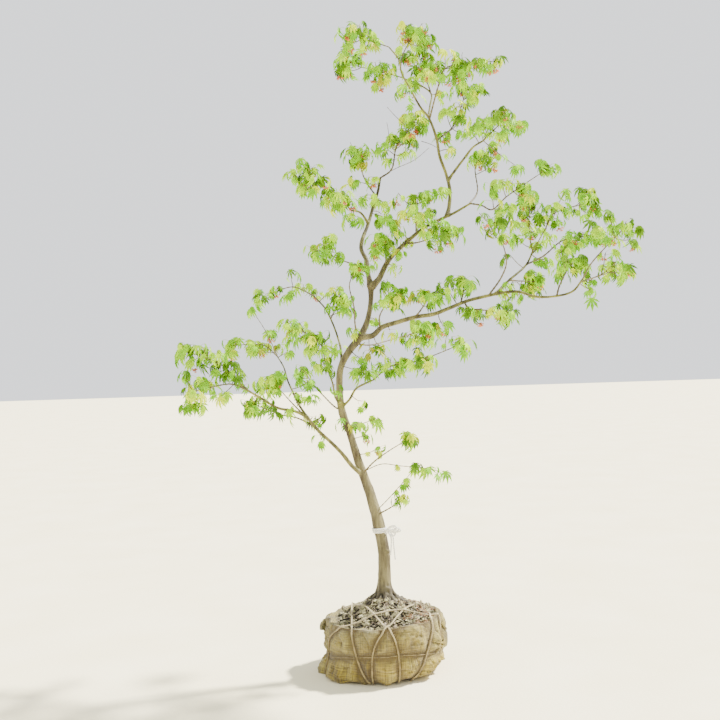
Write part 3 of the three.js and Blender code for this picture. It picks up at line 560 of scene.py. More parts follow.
def make_soil():
    """Pale and dark patches, darker with painted shade where the mound lies low, and rusty here and there
    at the right
    """
    EARTH = (0.36, (0.03, 0.026, 0.014)), (0.48, (0.19, 0.17, 0.085)), (0.62, (0.53, 0.49, 0.28))
    RUST = (0.3, 0.17, 0.08)
    material = Material("soil", 0.95)
    # Painted shade: the lower a point of the mound lies, the darker it is made
    patches = material.combined("SUBTRACT", material.noise(44, 5), material.attribute("pit"))
    colour = material.ramp(patches, *EARTH)
    right = material.rising(material.place("X"), 0.03, 0.07)
    rusty = material.rising(material.noise(30, 2), 0.5, 0.62)
    colour = material.mix(material.combined("MULTIPLY", right, rusty), colour, RUST)
    return material.finish(colour, material.noise(420, 6), 0.003)


def make_floor():
    material = Material("floor", 0.85)
    colour = material.ramp(material.noise(3, 5), (0.3, (0.86, 0.78, 0.52)), (0.7, (0.91, 0.84, 0.6)))
    return material.finish(colour, material.noise(120, 4), 0.0008)


bark_material = make_bark()

# Limbs

SWELL_AT_FOOT, SWELL_AT_TIP = 1.08, 1.15  # of a bough's stated girth, for its bark
TAPER = 0.75  # a bough thins fast at its foot and slowly towards its tip


class Limb:
    """A path, and the thickness at any share of its length"""

    def __init__(self, path, girth):
        self.path = path
        self.girth = girth


def tapered(foot_girth, tip_girth):
    foot, tip = foot_girth * SWELL_AT_FOOT, tip_girth * SWELL_AT_TIP
    return lambda share: foot + (tip - foot) * share**TAPER


def lay_out_limbs():
    """The trunk and its boughs by name, each bough from the limb that it leaves"""
    trunk = Path([seen(p) for p in TRUNK_PATH])
    places = np.linspace(0, 1, len(TRUNK_GIRTHS))
    limbs = {"trunk": Limb(trunk, lambda s: np.interp(trunk.points_passed(s), places, TRUNK_GIRTHS))}
    for name, parent, path, foot_girth, tip_girth in BOUGHS:
        on_parent = limbs[parent].path
        foot = on_parent.at(on_parent.share_nearest(*path[0][:2]))
        limbs[name] = Limb(Path([foot, *map(seen, path[1:])]), tapered(foot_girth, tip_girth))
    return limbs


limbs = lay_out_limbs()


def limb_near(across, up):
    """The limb, and the share of it, that shows nearest to a point of the upright plane"""

    def distance(limb):
        shown = shown_at(limb.path.at(limb.path.share_nearest(across, up)))
        return math.hypot(shown[0] - across, shown[2] - up)

    limb = min(limbs.values(), key=distance)
    return limb, limb.path.share_nearest(across, up)


# Bark: one skin over the trunk and boughs, with swollen feet, bud rings, streaks and lumps

ROOT_RIDGES = [  # (turn, reach beyond the trunk, thickness)
    (-0.3, 36, 17), (0.7, 20, 14), (1.7, 20, 14), (2.9, 18, 15), (3.9, 18, 14), (4.75, 20, 15),
    (5.4, 30, 16),
]
ROOT_BURLS = [  # (turn, distance, height, radius) of swellings round the trunk's foot
    (-0.9, 20, 236, 9), (-0.4, 24, 228, 9), (-1.3, 22, 222, 8), (-0.1, 30, 214, 10), (-0.9, 28, 214, 9),
    (0.3, 26, 218, 7), (-1.6, 26, 208, 9), (-0.4, 42, 207, 9), (-0.05, 52, 204, 8), (-0.8, 44, 203, 7),
    (3.3, 26, 210, 9), (2.2, 24, 211, 7), (-2.3, 26, 208, 8),
]
TRUNK_KNOTS = [  # (height, turn, size)
    (226, -1.2, 15), (262, -2.2, 9), (345, -0.6, 12), (366, -1.9, 8), (452, -0.5, 9), (520, -2.4, 8),
    (648, -1.2, 9), (742, -2.0, 8), (806, -0.7, 9), (868, 2.6, 8), (905, -1.6, 8), (1010, -0.4, 8),
]


def outward(turn):
    """The level direction away from the trunk's foot at a turn"""
    return np.array([math.cos(turn), math.sin(turn), 0.0])


def add_root_ridge(skin, turn, reach, thickness):
    """A root that runs from the trunk's side down to the soil"""
    foot, radius = seen(TRUNK_PATH[0]), TRUNK_GIRTHS[0] / 2
    side = outward(turn)
    way = ((reach, 6), (reach * 0.42, 21), (-1, 40), (-9, 80))  # out from the trunk's skin, and up
    ridge = Path([foot + side * (radius + out) + UP * up for out, up in way])
    skin.tube(ridge.at(np.linspace(0, 1, 10)), np.linspace(thickness * 0.42, thickness * 0.3, 10), 10)


def add_root_burl(skin, turn, distance, height, radius):
    """A round swelling"""
    middle = outward(turn) * distance + UP * height
    levels = np.linspace(-0.95, 0.95, 7)
    rings = [middle + UP * radius * level for level in levels]
    skin.tube(rings, radius * np.sqrt(1 - levels**2), 12)


def add_trunk_knot(skin, height, turn, size):
    """A low stub in the trunk's side, where a twig was"""
    trunk = limbs["trunk"]
    shares = np.linspace(0, 1, 400)
    share = shares[np.argmin(abs(trunk.path.at(shares)[:, 2] - height))]
    radius = trunk.girth(share) / 2
    reaches = (radius - 5, radius - 0.5, radius + size * 0.16)
    points = [trunk.path.at(share) + outward(turn) * reach for reach in reaches]
    skin.tube(points, [size * 0.7, size * 0.6, size * 0.3], 10)


def grow_bark():
    """The bark over all limbs, made one mesh so that its crotches are round"""
    FOOT_SWELL, FOOT_LENGTH = 0.4, 1.5  # how much thicker a bough's foot is, over how many radii
    STEP = 4
    TRUNK_SIDES, BOUGH_SIDES = 20, 14
    VOXEL = 0.0018
    skin = Heap()
    samples = []
    for name, limb in limbs.items():
        shares = np.linspace(0, 1, int(limb.path.length / STEP))
        points, travelled = limb.path.at(shares), shares * limb.path.length
        radii = limb.girth(shares) / 2
        is_trunk = name == "trunk"
        if not is_trunk:
            past_foot = np.maximum(travelled / radii[0] - 1, 0)
            radii = radii * (1 + FOOT_SWELL * np.exp(-past_foot / FOOT_LENGTH))
        skin.tube(points, radii, TRUNK_SIDES if is_trunk else BOUGH_SIDES)
        samples.append(np.column_stack([points, radii, travelled, np.full(len(points), is_trunk)]))
    for ridge in ROOT_RIDGES:
        add_root_ridge(skin, *ridge)
    for burl in ROOT_BURLS:
        add_root_burl(skin, *burl)
    for knot in TRUNK_KNOTS:
        add_trunk_knot(skin, *knot)
    piece = skin.to_object("bark_skin", bark_material)
    remesh = piece.modifiers.new("skin", "REMESH")
    remesh.mode, remesh.voxel_size = "VOXEL", VOXEL
    smooth = piece.modifiers.new("crotches", "SMOOTH")
    smooth.factor, smooth.iterations = 0.5, 4
    apply_modifiers(piece)
    raise_bark(piece.data, np.concatenate(samples))
    return piece


def apply_modifiers(piece):
    """Gives a piece the mesh that its modifiers make, and takes them off"""
    graph = bpy.context.evaluated_depsgraph_get()
    shaped = bpy.data.meshes.new_from_object(piece.evaluated_get(graph))
    piece.modifiers.clear()
    rough, piece.data = piece.data, shaped
    bpy.data.meshes.remove(rough)
    shaped.shade_smooth()


def vectors_of(mesh, field):
    """A vector for each point of a mesh, one in each row"""
    values = np.empty(len(mesh.vertices) * 3, np.float32)
    mesh.vertices.foreach_get(field, values)
    return values.reshape(-1, 3).astype(float)


def raise_bark(mesh, samples):
    """Moves the skin in and out by its place on its limb, and keeps how young the wood is there"""
    STREAK_HEIGHT, LUMP_HEIGHT, RING_HEIGHT = 0.55, 1.2, 0.32
    RING_SPACING, RING_WIDTH = 34, 1.6
    FULL_RELIEF_RADIUS = 15
    YOUNGEST_RADIUS, OLD_RADIUS = 2.3, 8.3
    ON_TRUNK = 0.4  # of the rings' height and of the young colour
    points, normals = vectors_of(mesh, "co") / MM, vectors_of(mesh, "normal")
    tree = tree_of(samples[:, :3])
    nearest = [tree.find(Vector(point))[1] for point in points]
    radii, travelled, is_trunk = samples[nearest, 3], samples[nearest, 4], samples[nearest, 5]
    streaks = np.array([noise.fractal(Vector(p * (0.17, 0.17, 0.04)), 0.9, 2.1, 4) for p in points])
    lumps = np.array([noise.noise(Vector(p * 0.03)) for p in points])
    relief = np.minimum(radii / FULL_RELIEF_RADIUS, 1)
    from_ring = travelled % RING_SPACING - RING_SPACING / 2
    on_limb = np.where(is_trunk, ON_TRUNK, 1)
    rings = RING_HEIGHT * np.exp(-((from_ring / RING_WIDTH) ** 2)) * on_limb
    raised = relief * (STREAK_HEIGHT * streaks + LUMP_HEIGHT * lumps) + rings
    mesh.vertices.foreach_set("co", ((points + normals * raised[:, None]) * MM).ravel())
    age = (radii - YOUNGEST_RADIUS) / (OLD_RADIUS - YOUNGEST_RADIUS)
    keep_on_points(mesh, "youth", np.clip(1 - age, 0, 1) * on_limb)
    mesh.update()


dressed(grow_bark(), "bark", *limbs)

# Leaves and flowers

LEAF_LENGTH = 37  # from the palm to the tip of the middle lobe
STALK_LENGTH = 19
LOBES = [  # (turn from the middle lobe, length as a share of it, toothed or plain edge)
    (-2.15, 0.34, False), (-1.36, 0.68, True), (-0.66, 0.92, True), (0.0, 1.0, True),
    (0.66, 0.92, True), (1.36, 0.68, True), (2.15, 0.34, False),
]
NOTCH_REACH = 0.32  # from the palm to the notch between two lobes
# Down a lobe's edge from the palm: (share of its length, half width as a share of it)
TOOTHED_EDGE = [(0.4, 0.085), (0.57, 0.12), (0.62, 0.09), (0.8, 0.055)]
PLAIN_EDGE = [(0.5, 0.13)]


class LeafShape:
    """A flat leaf as points, each of a turn, a reach along it and an offset across it"""

    def __init__(self):
        self.turns, self.reaches, self.offsets, self.faces = [], [], [], []
        palm = self.point(0, 0, 0)
        notches = [
            self.point((a[0] + b[0]) / 2, NOTCH_REACH * min(a[1], b[1]), 0)
            for a, b in zip(LOBES, LOBES[1:])
        ]
        for k, (turn, length, toothed) in enumerate(LOBES):
            middle = self.point(turn, 0.5 * length, 0)
            tip = self.point(turn, length, 0)
            for side, notch in ((-1, notches[:k][-1:]), (1, notches[k:][:1])):
                edge = [
                    self.point(turn, share * length, side * width * length)
                    for share, width in (TOOTHED_EDGE if toothed else PLAIN_EDGE)
                ]
                row = [palm, *notch, *edge, tip]
                corners = [(a, b, middle) for a, b in zip(row, row[1:])]
                self.faces += corners if side > 0 else [(b, a, middle) for a, b, middle in corners]
        self.turns, self.reaches, self.offsets = map(np.array, (self.turns, self.reaches, self.offsets))

    def point(self, turn, reach, offset):
        self.turns.append(turn)
        self.reaches.append(reach)
        self.offsets.append(offset)
        return len(self.turns) - 1

    def bent(self, spread, curl, fold):
        """The leaf with its lobes drawn together, curling down towards their tips, edges raised.
        Columns are to the side, forward and up."""
        steepness = curl * self.reaches
        out, down = self.reaches * np.cos(steepness), self.reaches * np.sin(steepness)
        turns = self.turns * spread
        sideways = out * np.sin(turns) + self.offsets * np.cos(turns)
        forward = out * np.cos(turns) - self.offsets * np.sin(turns)
        return np.column_stack([sideways, forward, fold * np.abs(self.offsets) - down])


leaf_shape = LeafShape()
# The shades are dealt at random by spray and by leaf. Their tones are partly the leaves' own and partly
# painted light and shade: leaves_light stands in for sunlit leaves, leaves_deep for leaves in shade
SHADES = {  # name: (darker colour, lighter colour, share of the sprays)
    "leaves_fresh": ((0.14, 0.38, 0.001), (0.29, 0.58, 0.002), 0.4),
    "leaves_light": ((0.31, 0.57, 0.001), (0.46, 0.72, 0.003), 0.28),
    "leaves_deep": ((0.055, 0.15, 0.003), (0.14, 0.3, 0.004), 0.2),
    "leaves_yellow": ((0.48, 0.62, 0.002), (0.62, 0.74, 0.005), 0.1),
    "leaves_tinged": ((0.27, 0.3, 0.012), (0.4, 0.42, 0.016), 0.02),
}
leaf_heaps = {name: Heap() for name in SHADES}
stalks, twigs, flowers, flower_stalks = Heap(), Heap(), Heap(), Heap()


def deal_shade(draw):
    """The heap of a shade of leaves, each shade as often as its share says"""
    left = draw(0, sum(share for _, _, share in SHADES.values()))
    for name, (_, _, share) in SHADES.items():
        left -= share
        if left < 0:
            break
    return leaf_heaps[name]


def sideways_of(way):
    """A level direction across way"""
    side = np.cross(way, UP)
    return unit(side if np.linalg.norm(side) > 1e-3 else np.array([1.0, 0, 0]))


def add_leaf(heap, root, way, size, draw):
    """A leaf whose stalk leaves root along way and bends over, so that the blade hangs"""
    STALKS, DIPS, ROLLS = (0.7, 1.4), (0.45, 1.45), (-0.6, 0.6)
    SPREADS, CURLS, FOLDS = (0.35, 0.9), (0.2, 1.0), (0.2, 0.9)
    level = unit(way * (1, 1, 0) + (1e-4, 0, 0))
    stalk = STALK_LENGTH * size * draw(*STALKS)
    bend = root + way * stalk * 0.6
    palm = bend + (level + way) * stalk * 0.2 - UP * stalk * 0.1
    stalks.tube(Path([root - way, bend, palm]).at(np.linspace(0, 1, 4)), [0.55, 0.42, 0.4, 0.5], 3)
    dip = draw(*DIPS)
    forward = level * math.cos(dip) - UP * math.sin(dip)
    side = turned(sideways_of(forward), forward, draw(*ROLLS))
    local = leaf_shape.bent(draw(*SPREADS), draw(*CURLS), draw(*FOLDS)) * LEAF_LENGTH * size
    heap.add(palm + local @ np.array([side, forward, np.cross(side, forward)]), leaf_shape.faces)


def add_flower(middle, way, radius, draw):
    """A small cup of five petals"""
    CORNERS = 10  # the petals' tips and the notches between them
    side = sideways_of(way)
    over = np.cross(way, side)
    start = draw(0, 2 * math.pi)
    rim = []
    for k in range(CORNERS):
        turn = start + 2 * math.pi * k / CORNERS
        reach, lift = (1.05, 0.7) if k % 2 == 0 else (0.55, 0.1)
        away = side * math.cos(turn) + over * math.sin(turn)
        rim.append(middle + (away * reach + way * lift) * radius)
    edges = [(1 + k, 1 + (k + 1) % CORNERS) for k in range(CORNERS)]
    faces = [(0, b, a) for a, b in edges] + [(CORNERS + 1, a, b) for a, b in edges]
    flowers.add([middle - way * radius * 0.7, *rim, middle + way * radius * 0.2], faces)


def add_flowers(root, draw):
    """A loose cluster of small flowers on thin stalks"""
    hub = root + np.array([draw(-5, 5), draw(-5, 5), draw(-28, -12)])
    flower_stalks.tube([root, (root + hub) / 2 + UP, hub], [0.5, 0.4, 0.4], 3)
    for _ in range(int(draw(8, 15))):
        way = unit(np.array([draw(-1, 1), draw(-1, 1), draw(-1.1, 0.15)]))
        end = hub + way * draw(3, 12)
        flower_stalks.tube([hub, (hub + end) / 2 + UP * 0.8, end], [0.35, 0.3, 0.3], 3)
        add_flower(end, way, draw(3, 4.6), draw)


TREE_HEIGHT = 1900
FLOWERING_SHARE = 0.62  # of the shoots at the top
FLOWERING_FALL = 2.2  # how fast it falls further down, as a power of the height
STRAY_SHARE = 0.35  # of the leaves, with another shade than their spray


def kept_inside(point):
    """The nearest place to a point for a shoot's tip, a little inside the solids' box"""
    REACH = 8
    return np.clip(point, box_low + REACH, box_high - REACH)


def within_box(point):
    """Whether a leaf's tip is inside the solids' box, give or take what the part's size allows"""
    SLACK = 14
    return np.all(point > box_low - SLACK) and np.all(point < box_high + SLACK)


def add_tuft(tip, ahead, count, draw, size=1.0, room=None, flowering=FLOWERING_SHARE):
    """A spray at the end of a shoot: pairs of leaves, each pair a quarter turn from the last"""
    heap = deal_shade(draw)
    side = sideways_of(ahead)
    for k in range(count):
        turn = math.pi * (k % 2) + 0.5 * math.pi * (k // 2) + draw(-0.4, 0.4)
        way = unit(turned(side, ahead, turn) * draw(0.6, 1.0) + ahead * draw(0.1, 0.8) + UP * 0.2)
        root = tip - ahead * (k // 2) * draw(5, 13)
        scale = size * draw(0.58, 1.16)
        leaf_middle = root + (way * STALK_LENGTH - UP * LEAF_LENGTH * 0.35) * scale
        leaf_tip = root + way * (STALK_LENGTH + 0.8 * LEAF_LENGTH) * scale
        if within_box(leaf_tip) and (room is None or room.holds(leaf_middle, LEAF_ROOM)):
            other = draw() < STRAY_SHARE
            add_leaf(deal_shade(draw) if other else heap, root, way, scale, draw)
    if draw() < flowering * (tip[2] / TREE_HEIGHT) ** FLOWERING_FALL:
        add_flowers(tip, draw)


# Masses: on each stem opposite pairs of side twigs, a quarter turn apart, that end in tufts

NODE_SPACING = 27
FORWARD = 0.45  # how far side twigs lean along the stem
LEAF_ROOM = 1.4  # how far out the middle of a leaf may lie, as a share of its space
SHOOT_SHARE = 0.85  # of the side twigs that a stem has places for
WIDEST_FOOT = 5.5
STEM_TIP_GIRTH = 2.2


class Space:
    """A rounded space that a mass keeps to"""

    def __init__(self, across, up, behind, *half):
        self.centre = seen((across, up, behind))
        self.half = np.array(half, float)

    def holds(self, point, share):
        return np.linalg.norm((point - self.centre) / self.half) < share

    def reach_from(self, start, way):
        """How far it is from a point inside to the skin"""
        local, step = (start - self.centre) / self.half, way / self.half
        a, b, c = step @ step, local @ step, local @ local - 1
        return 0.0 if c > 0 else (math.sqrt(b * b - a * c) - b) / a


def add_twig(heap, points, foot_girth, tip_girth, sides=6):
    """A twig that swells a little at its buds"""
    BUD_SPACING, BUD_SWELL, STEP = 15, 0.16, 4
    path = Path(points)
    shares = np.linspace(0, 1, max(4, int(path.length / STEP)))
    swell = 1 + BUD_SWELL * np.cos(shares * path.length * 2 * math.pi / BUD_SPACING)
    heap.tube(path.at(shares), (foot_girth + (tip_girth - foot_girth) * shares) / 2 * swell, sides)
    return path


def grow_shoot(space, node, out, size, draw):
    """A side twig that bends up a little, with pairs of leaves along it and a tuft at its end"""
    SHORTEST, SHORTEST_TO_PAIR = 6, 10
    LEAF_PAIRS = (0.45, 0.75)  # where along it pairs of leaves may grow
    PAIR_SHARE = 0.5
    GIRTHS = (2.8, 1.8)
    length = (space.reach_from(node, out) - 0.15 * LEAF_LENGTH) * draw(0.45, 1.4)
    if length < SHORTEST:
        add_tuft(node, out, 2, draw, size, space, flowering=0)
        return
    tip = kept_inside(node + out * length + UP * draw(0.05, 0.4) * length)
    shoot = add_twig(twigs, [node, node + out * length * 0.5 - UP * 0.02 * length, tip], *GIRTHS)
    for share in LEAF_PAIRS:
        if length * share > SHORTEST_TO_PAIR and draw() < PAIR_SHARE:
            add_tuft(shoot.at(share), shoot.along(share), 2, draw, size, space, flowering=0)
    add_tuft(tip, shoot.along(1), int(draw(3, 6)), draw, size, space)


def grow_mass(parent, path, spaces, fullness, seed):
    """A stem from its limb through the mass's spaces, with side twigs in each and a tuft at its end"""
    NODES_EACH = 1.7  # for each NODE_SPACING of a space's radius
    FIRST, LAST = -0.85, 0.75  # where in a space its nodes are, in radii from the middle
    draw = seeded(seed)
    limb = limbs[parent]
    share = limb.path.share_nearest(*path[0][:2]) if path[0] else 1.0
    foot = limb.path.at(share)
    centres = [space.centre for space in spaces]
    before = [foot, *map(seen, path[1:]), *centres][-2]
    onward = unit(centres[-1] - before)
    room = spaces[-1].reach_from(centres[-1], onward) - LEAF_LENGTH * 0.8
    end = kept_inside(centres[-1] + onward * max(room, 9))
    girth = min(limb.girth(share) * 0.8, WIDEST_FOOT)
    stem = add_twig(twigs, [foot, *map(seen, path[1:]), *centres, end], girth, STEM_TIP_GIRTH, 8)
    for space, full in zip(spaces, fullness or [1] * len(spaces)):
        radius = space.half.mean()
        size = min(1, radius / LEAF_LENGTH)
        middle = stem.share_nearest(*shown_at(space.centre)[[0, 2]])
        count = max(3, round(NODES_EACH * radius * full / NODE_SPACING) + 1)
        for pair, place in enumerate(np.linspace(FIRST, LAST, count)):
            share = min(middle + place * radius / stem.length, 1)
            node, along = stem.at(share), stem.along(share)
            turn = pair * math.pi / 2 + draw(-0.3, 0.3)
            for opposite in (0, math.pi):
                out = turned(-sideways_of(along), along, turn + opposite)
                if draw() < SHOOT_SHARE * full:
                    grow_shoot(space, node, unit(out + along * FORWARD * draw(0.5, 1.5)), size, draw)
    add_tuft(end, stem.along(1), 4, draw, size, spaces[-1])


FULLNESS = {  # where the spaces of a mass have more or fewer side twigs than most
    "leaves_top_left": [1.3], "leaves_top_right": [1.35], "leaves_arch_tip": [1.2, 1.25],
    "leaves_upper_front": [1.25, 0.45], "leaves_leader_tip": [1.4, 1.25], "leaves_right_middle": [1.2],
    "leaves_right_rise": [0.9, 0.6], "leaves_right_reach": [1.0, 0.5], "leaves_behind": [1.35],
    "leaves_right_upright": [0.7], "leaves_right_short": [0.65], "leaves_upright_tip": [0.8, 0.6],
    "leaves_left_front": [0.9, 0.8, 0.8], "leaves_left_back": [0.8], "leaves_low_shoot": [0.6],
    "leaves_lowest_shoot": [0.7],
}

for index, (name, parent, path, rows) in enumerate(MASSES):
    grow_mass(parent, path, [Space(*row) for row in rows], FULLNESS.get(name), 11 + 7 * index)


# Short shoots straight from the limbs, each to where its tuft shows

SHOOTS = [  # (across, up) of their tips
    (-3, 1391), (-57, 1327), (-53, 1437), (6, 1443), (53, 1320), (77, 1290), (103, 1256), (63, 1176),
    (203, 1403), (236, 1517), (212, 1687), (102, 1700), (131, 1675), (426, 1466), (571, 1385),
    (403, 1202), (505, 1184), (388, 1107), (421, 1084), (635, 1092), (216, 1127), (198, 1002),
    (-60, 996), (0, 1023), (43, 993), (-18, 936), (-64, 878), (-105, 953), (-124, 836), (-199, 803),
    (-253, 766), (-194, 744), (-106, 726), (-57, 719), (-9, 732), (-46, 786), (-389, 844), (-457, 817),
    (-262, 937), (-168, 1111), (-361, 1064), (3, 649),
    (-62, 1335), (-15, 1195), (-40, 1170), (0, 1380), (-85, 1060), (-122, 1118), (-38, 685),
    (-175, 690), (-175, 735), (-35, 905), (15, 945), (-35, 868),
    (320, 1600), (345, 1568), (300, 1575), (-235, 815), (-200, 850), (-317, 768), (144, 1313),
    (46, 1369), (27, 1335),
]


def grow_limb_shoot(across, up, draw):
    """A short shoot from the nearest limb to where it shows, its depth near the limb's"""
    DEPTH = 45
    LEAF_PAIRS = (0.5, 0.75)  # where along it pairs of leaves may grow
    SHORTEST_TO_PAIR, PAIR_SHARE = 30, 0.6
    limb, share = limb_near(across, up)
    foot = limb.path.at(share)
    tip = kept_inside(seen((across, up, foot[1] + draw(-DEPTH, DEPTH))))
    middle = (foot + tip) / 2 + UP * draw(-6, 4) + np.array([draw(-5, 5), 0, 0])
    shoot = add_twig(twigs, [foot, middle, tip], 3.0, 1.8)
    for share in LEAF_PAIRS:
        if shoot.length * share > SHORTEST_TO_PAIR and draw() < PAIR_SHARE:
            add_tuft(shoot.at(share), shoot.along(share), 2, draw, flowering=0)
    add_tuft(tip, shoot.along(1), int(draw(3, 6)), draw)


def grow_leafy_twig(route, draw):
    """A longer twig along a route of places as they show, with leaves on its outer half"""
    LEAF_SPACING, PAIR_SHARE = 24, 0.6
    TOWARDS_VIEWER = 12  # at each place
    limb, share = limb_near(*route[0])
    foot = limb.path.at(share)
    places = enumerate(route[1:], 1)
    points = [foot, *(seen((across, up, foot[1] - TOWARDS_VIEWER * k)) for k, (across, up) in places)]
    twig = add_twig(twigs, points, 3.2, 1.8)
    for share in np.arange(0.45, 0.95, LEAF_SPACING / twig.length):
        if draw() < PAIR_SHARE:
            add_tuft(twig.at(share), twig.along(share), 2, draw, flowering=0)
    add_tuft(points[-1], twig.along(1), 4, draw)


LEAFY_TWIGS = [  # the places that each passes, as they show
    [(-38, 583), (6, 599), (60, 592), (113, 586), (172, 574)],
    [(-2, 465), (26, 500), (82, 560), (108, 590)],
]

BARE_TWIGS = [  # the places that each passes, as they show
    [(106, 1594), (80, 1620), (55, 1649)], [(60, 1545), (57, 1575), (53, 1604)],
    [(-38, 1504), (-48, 1527), (-57, 1549)], [(282, 1781), (280, 1793), (283, 1804)],
    [(33, 1445), (75, 1467), (130, 1490), (175, 1525)], [(153, 1545), (178, 1536), (201, 1523)],
]
bare_twigs = Heap()


def grow_bare_twig(route, draw):
    """A thin twig with no leaves, as deep as the limb beside it"""
    limb, share = limb_near(*route[0])
    behind = limb.path.at(share)[1]
    points = [seen((across, up, behind + draw(-8, 8))) for across, up in route]
    add_twig(bare_twigs, points, 2.4, 1.3, 5)


shoot_draw = seeded(4021)
for place in SHOOTS:
    grow_limb_shoot(*place, shoot_draw)
for route in LEAFY_TWIGS:
    grow_leafy_twig(route, shoot_draw)
for route in BARE_TWIGS:
    grow_bare_twig(route, shoot_draw)

mass_names = [name for name, *_ in MASSES]
for name, (dark, light, _) in SHADES.items():
    leaves = leaf_heaps[name].to_object(name, make_leaf_material(name, dark, light), smooth=False)
    dressed(leaves, "leaf", *mass_names)
twig_material = make_twig_material("twig", (0.04, 0.03, 0.01), (0.13, 0.1, 0.03))
bare_material = make_twig_material("bare_twig", (0.04, 0.03, 0.018), (0.12, 0.09, 0.055))
stalk_material = make_twig_material("stalk", (0.28, 0.2, 0.03), (0.38, 0.4, 0.05))
flower_material = make_twig_material("flower", (0.42, 0.07, 0.02), (0.74, 0.27, 0.11))
dressed(twigs.to_object("twigs", twig_material), "bark", *mass_names)
dressed(bare_twigs.to_object("bare_twigs", bare_material), "bark")
dressed(stalks.to_object("leaf_stalks", stalk_material), "leaf")
dressed(flowers.to_object("flowers", flower_material), "leaf")
dressed(flower_stalks.to_object("flower_stalks", stalk_material), "leaf")

# Root ball: soil, burlap and the ropes that hold it

# How far a rope's middle lies from the side of the burlap's bag, over its rim and over the soil
ROPE_REST = ROPE_DIAMETER / 2 + 0.9
ROPE_OVER_RIM = ROPE_DIAMETER / 2 + 1.9
ROPE_ON_SOIL = ROPE_DIAMETER / 2 + 2.7
NEAR_RIM = 16  # how far inside the soil's edge a rope still lies on the rim
# Both ends of each run of rope: (turn at the ground, turn at the rim, bow)
LACING = [
    ((2.5, 2.45, 1), (-1.36, -1.52, 4)), ((0.42, 0.53, 1), (-1.82, -1.58, 4)),
    ((2.05, 2.2, 1), (-1.78, -2.2, 0.5)), ((3.4, 3.86, 4), (-0.5, -0.29, 1)),
    ((0.95, 0.8, 1), (-1.15, -0.65, 0.7)),
]
STRING_DIAMETER = 2.7
LAID_DIAMETER = 5  # of the ropes as they are laid, without their stray fibres
FLAP_REACH = 22  # how far the burlap's edge is turned in over the soil
# Corners of the burlap, gathered and tied: (turn, height, reach, drop, plumpness)
EARS = [
    (2.86, 138, 27, 12, 1.7), (-0.1, 122, 13, 32, 0.8), (1.2, 120, 20, 14, 1), (3.08, 26, 14, 12, 1),
]


def wrap_radius(turn, height):
    """The burlap's bag without its folds: low, drawn in under its right side and spread at its left"""
    belly = BALL_RADIUS - 30 * np.exp(-height / 14) - 7 * (height / RIM_HEIGHT) ** 6
    foot = np.exp(-height / 22)
    left_spread = 43 * foot * np.maximum(0, np.cos(turn - 3.3)) ** 3
    right_tuck = 27 * foot * np.maximum(0, np.cos(turn + 0.3)) ** 2
    folds = 2.2 * np.sin(7 * turn + 0.6) + 1.4 * np.sin(12 * turn + height / 40)
    return belly + left_spread - right_tuck + folds


def soil_height(distance):
    """A mound that falls from the trunk to the burlap"""
    slope = (distance - TRUNK_SEAT_RADIUS) / (SOIL_RADIUS - TRUNK_SEAT_RADIUS)
    return CROWN_OF_SOIL + (SOIL_EDGE - CROWN_OF_SOIL) * np.clip(slope, 0, 1) ** 0.8


def on_burlap(turn, height):
    """A point of the bag's side"""
    return outward(turn) * wrap_radius(turn, height) + UP * height


def on_side(turn, height):
    """A point of a rope's middle that rests on the burlap's side"""
    STEP = 4
    slope = (wrap_radius(turn, height + STEP) - wrap_radius(turn, height - STEP)) / (2 * STEP)
    return on_burlap(turn, height) + unit(outward(turn) - UP * slope) * ROPE_REST


def rope_rise(low_turn, rim_turn, bow):
    """A rope's way up the side and over the rim"""
    HEIGHTS = (6, 13, 22, 36, 50, 72, 95, 112, 128, 140, SOIL_EDGE)
    side = [
        on_side(rim_turn + (low_turn - rim_turn) * (1 - (height / RIM_HEIGHT) ** bow), height)
        for height in HEIGHTS
    ]
    edge = on_side(rim_turn, RIM_HEIGHT) * (1, 1, 0)
    return [*side, edge * 0.985 + UP * (RIM_HEIGHT + ROPE_OVER_RIM - 2)]


def rope_route(first_end, far_end):
    """Up one side, across the rim and the soil, and down the far side"""
    up, down = rope_rise(*first_end), rope_rise(*far_end)[::-1]
    across = []
    for share in (0.1, 0.22, 0.36, 0.5, 0.64, 0.78, 0.9):
        point = up[-1] + (down[0] - up[-1]) * share
        distance = math.hypot(*point[:2])
        point[2] = RIM_HEIGHT + ROPE_OVER_RIM
        if distance <= SOIL_RADIUS - NEAR_RIM:
            point[2] = soil_height(distance) + ROPE_ON_SOIL
        across.append(point)
    return [*up, *across, *down]


def string_route():
    """The string all round the ball, low at the back and higher before the viewer"""
    LOW, RISE, REST = 52, 34, STRING_DIAMETER / 2 + 1.0
    route = []
    for turn in np.linspace(0, 2 * math.pi, 97):
        height = LOW + RISE * max(0, -math.sin(turn)) ** 1.3
        route.append(outward(turn) * (wrap_radius(turn, height) + REST) + UP * height)
    return route


def lay_rope(heap, route, diameter, pitch, strands=3, draw=None):
    """A laid rope: strands wound round the route, with stray fibres where draw is given"""
    STEP, FIBRE_SPACING = 2.2, 5
    STRAND_RADIUS, STRAND_OFFSET = 0.24, 0.26  # as shares of the rope's diameter
    LOWEST = 0.55  # of its middle over the floor, as a share of its diameter
    path = Path(route)
    shares = np.linspace(0, 1, max(6, int(path.length / STEP)))
    points = path.at(shares)
    points[:, 2] = np.maximum(points[:, 2], diameter * LOWEST)
    across, over = frames_along(points)
    for strand in range(strands):
        turns = 2 * math.pi * (strand / strands + shares * path.length / pitch)[:, None]
        middle = points + (np.cos(turns) * across + np.sin(turns) * over) * diameter * STRAND_OFFSET
        heap.tube(middle, np.full(len(points), diameter * STRAND_RADIUS), 7)
    for _ in range(int(path.length / FIBRE_SPACING) if draw else 0):
        k = int(draw(1, len(points) - 2))
        way = unit(turned(across[k], unit(np.cross(across[k], over[k])), draw(0, 2 * math.pi)))
        add_stray_fibre(heap, points[k] + way * diameter * 0.4, way, draw)
    return points


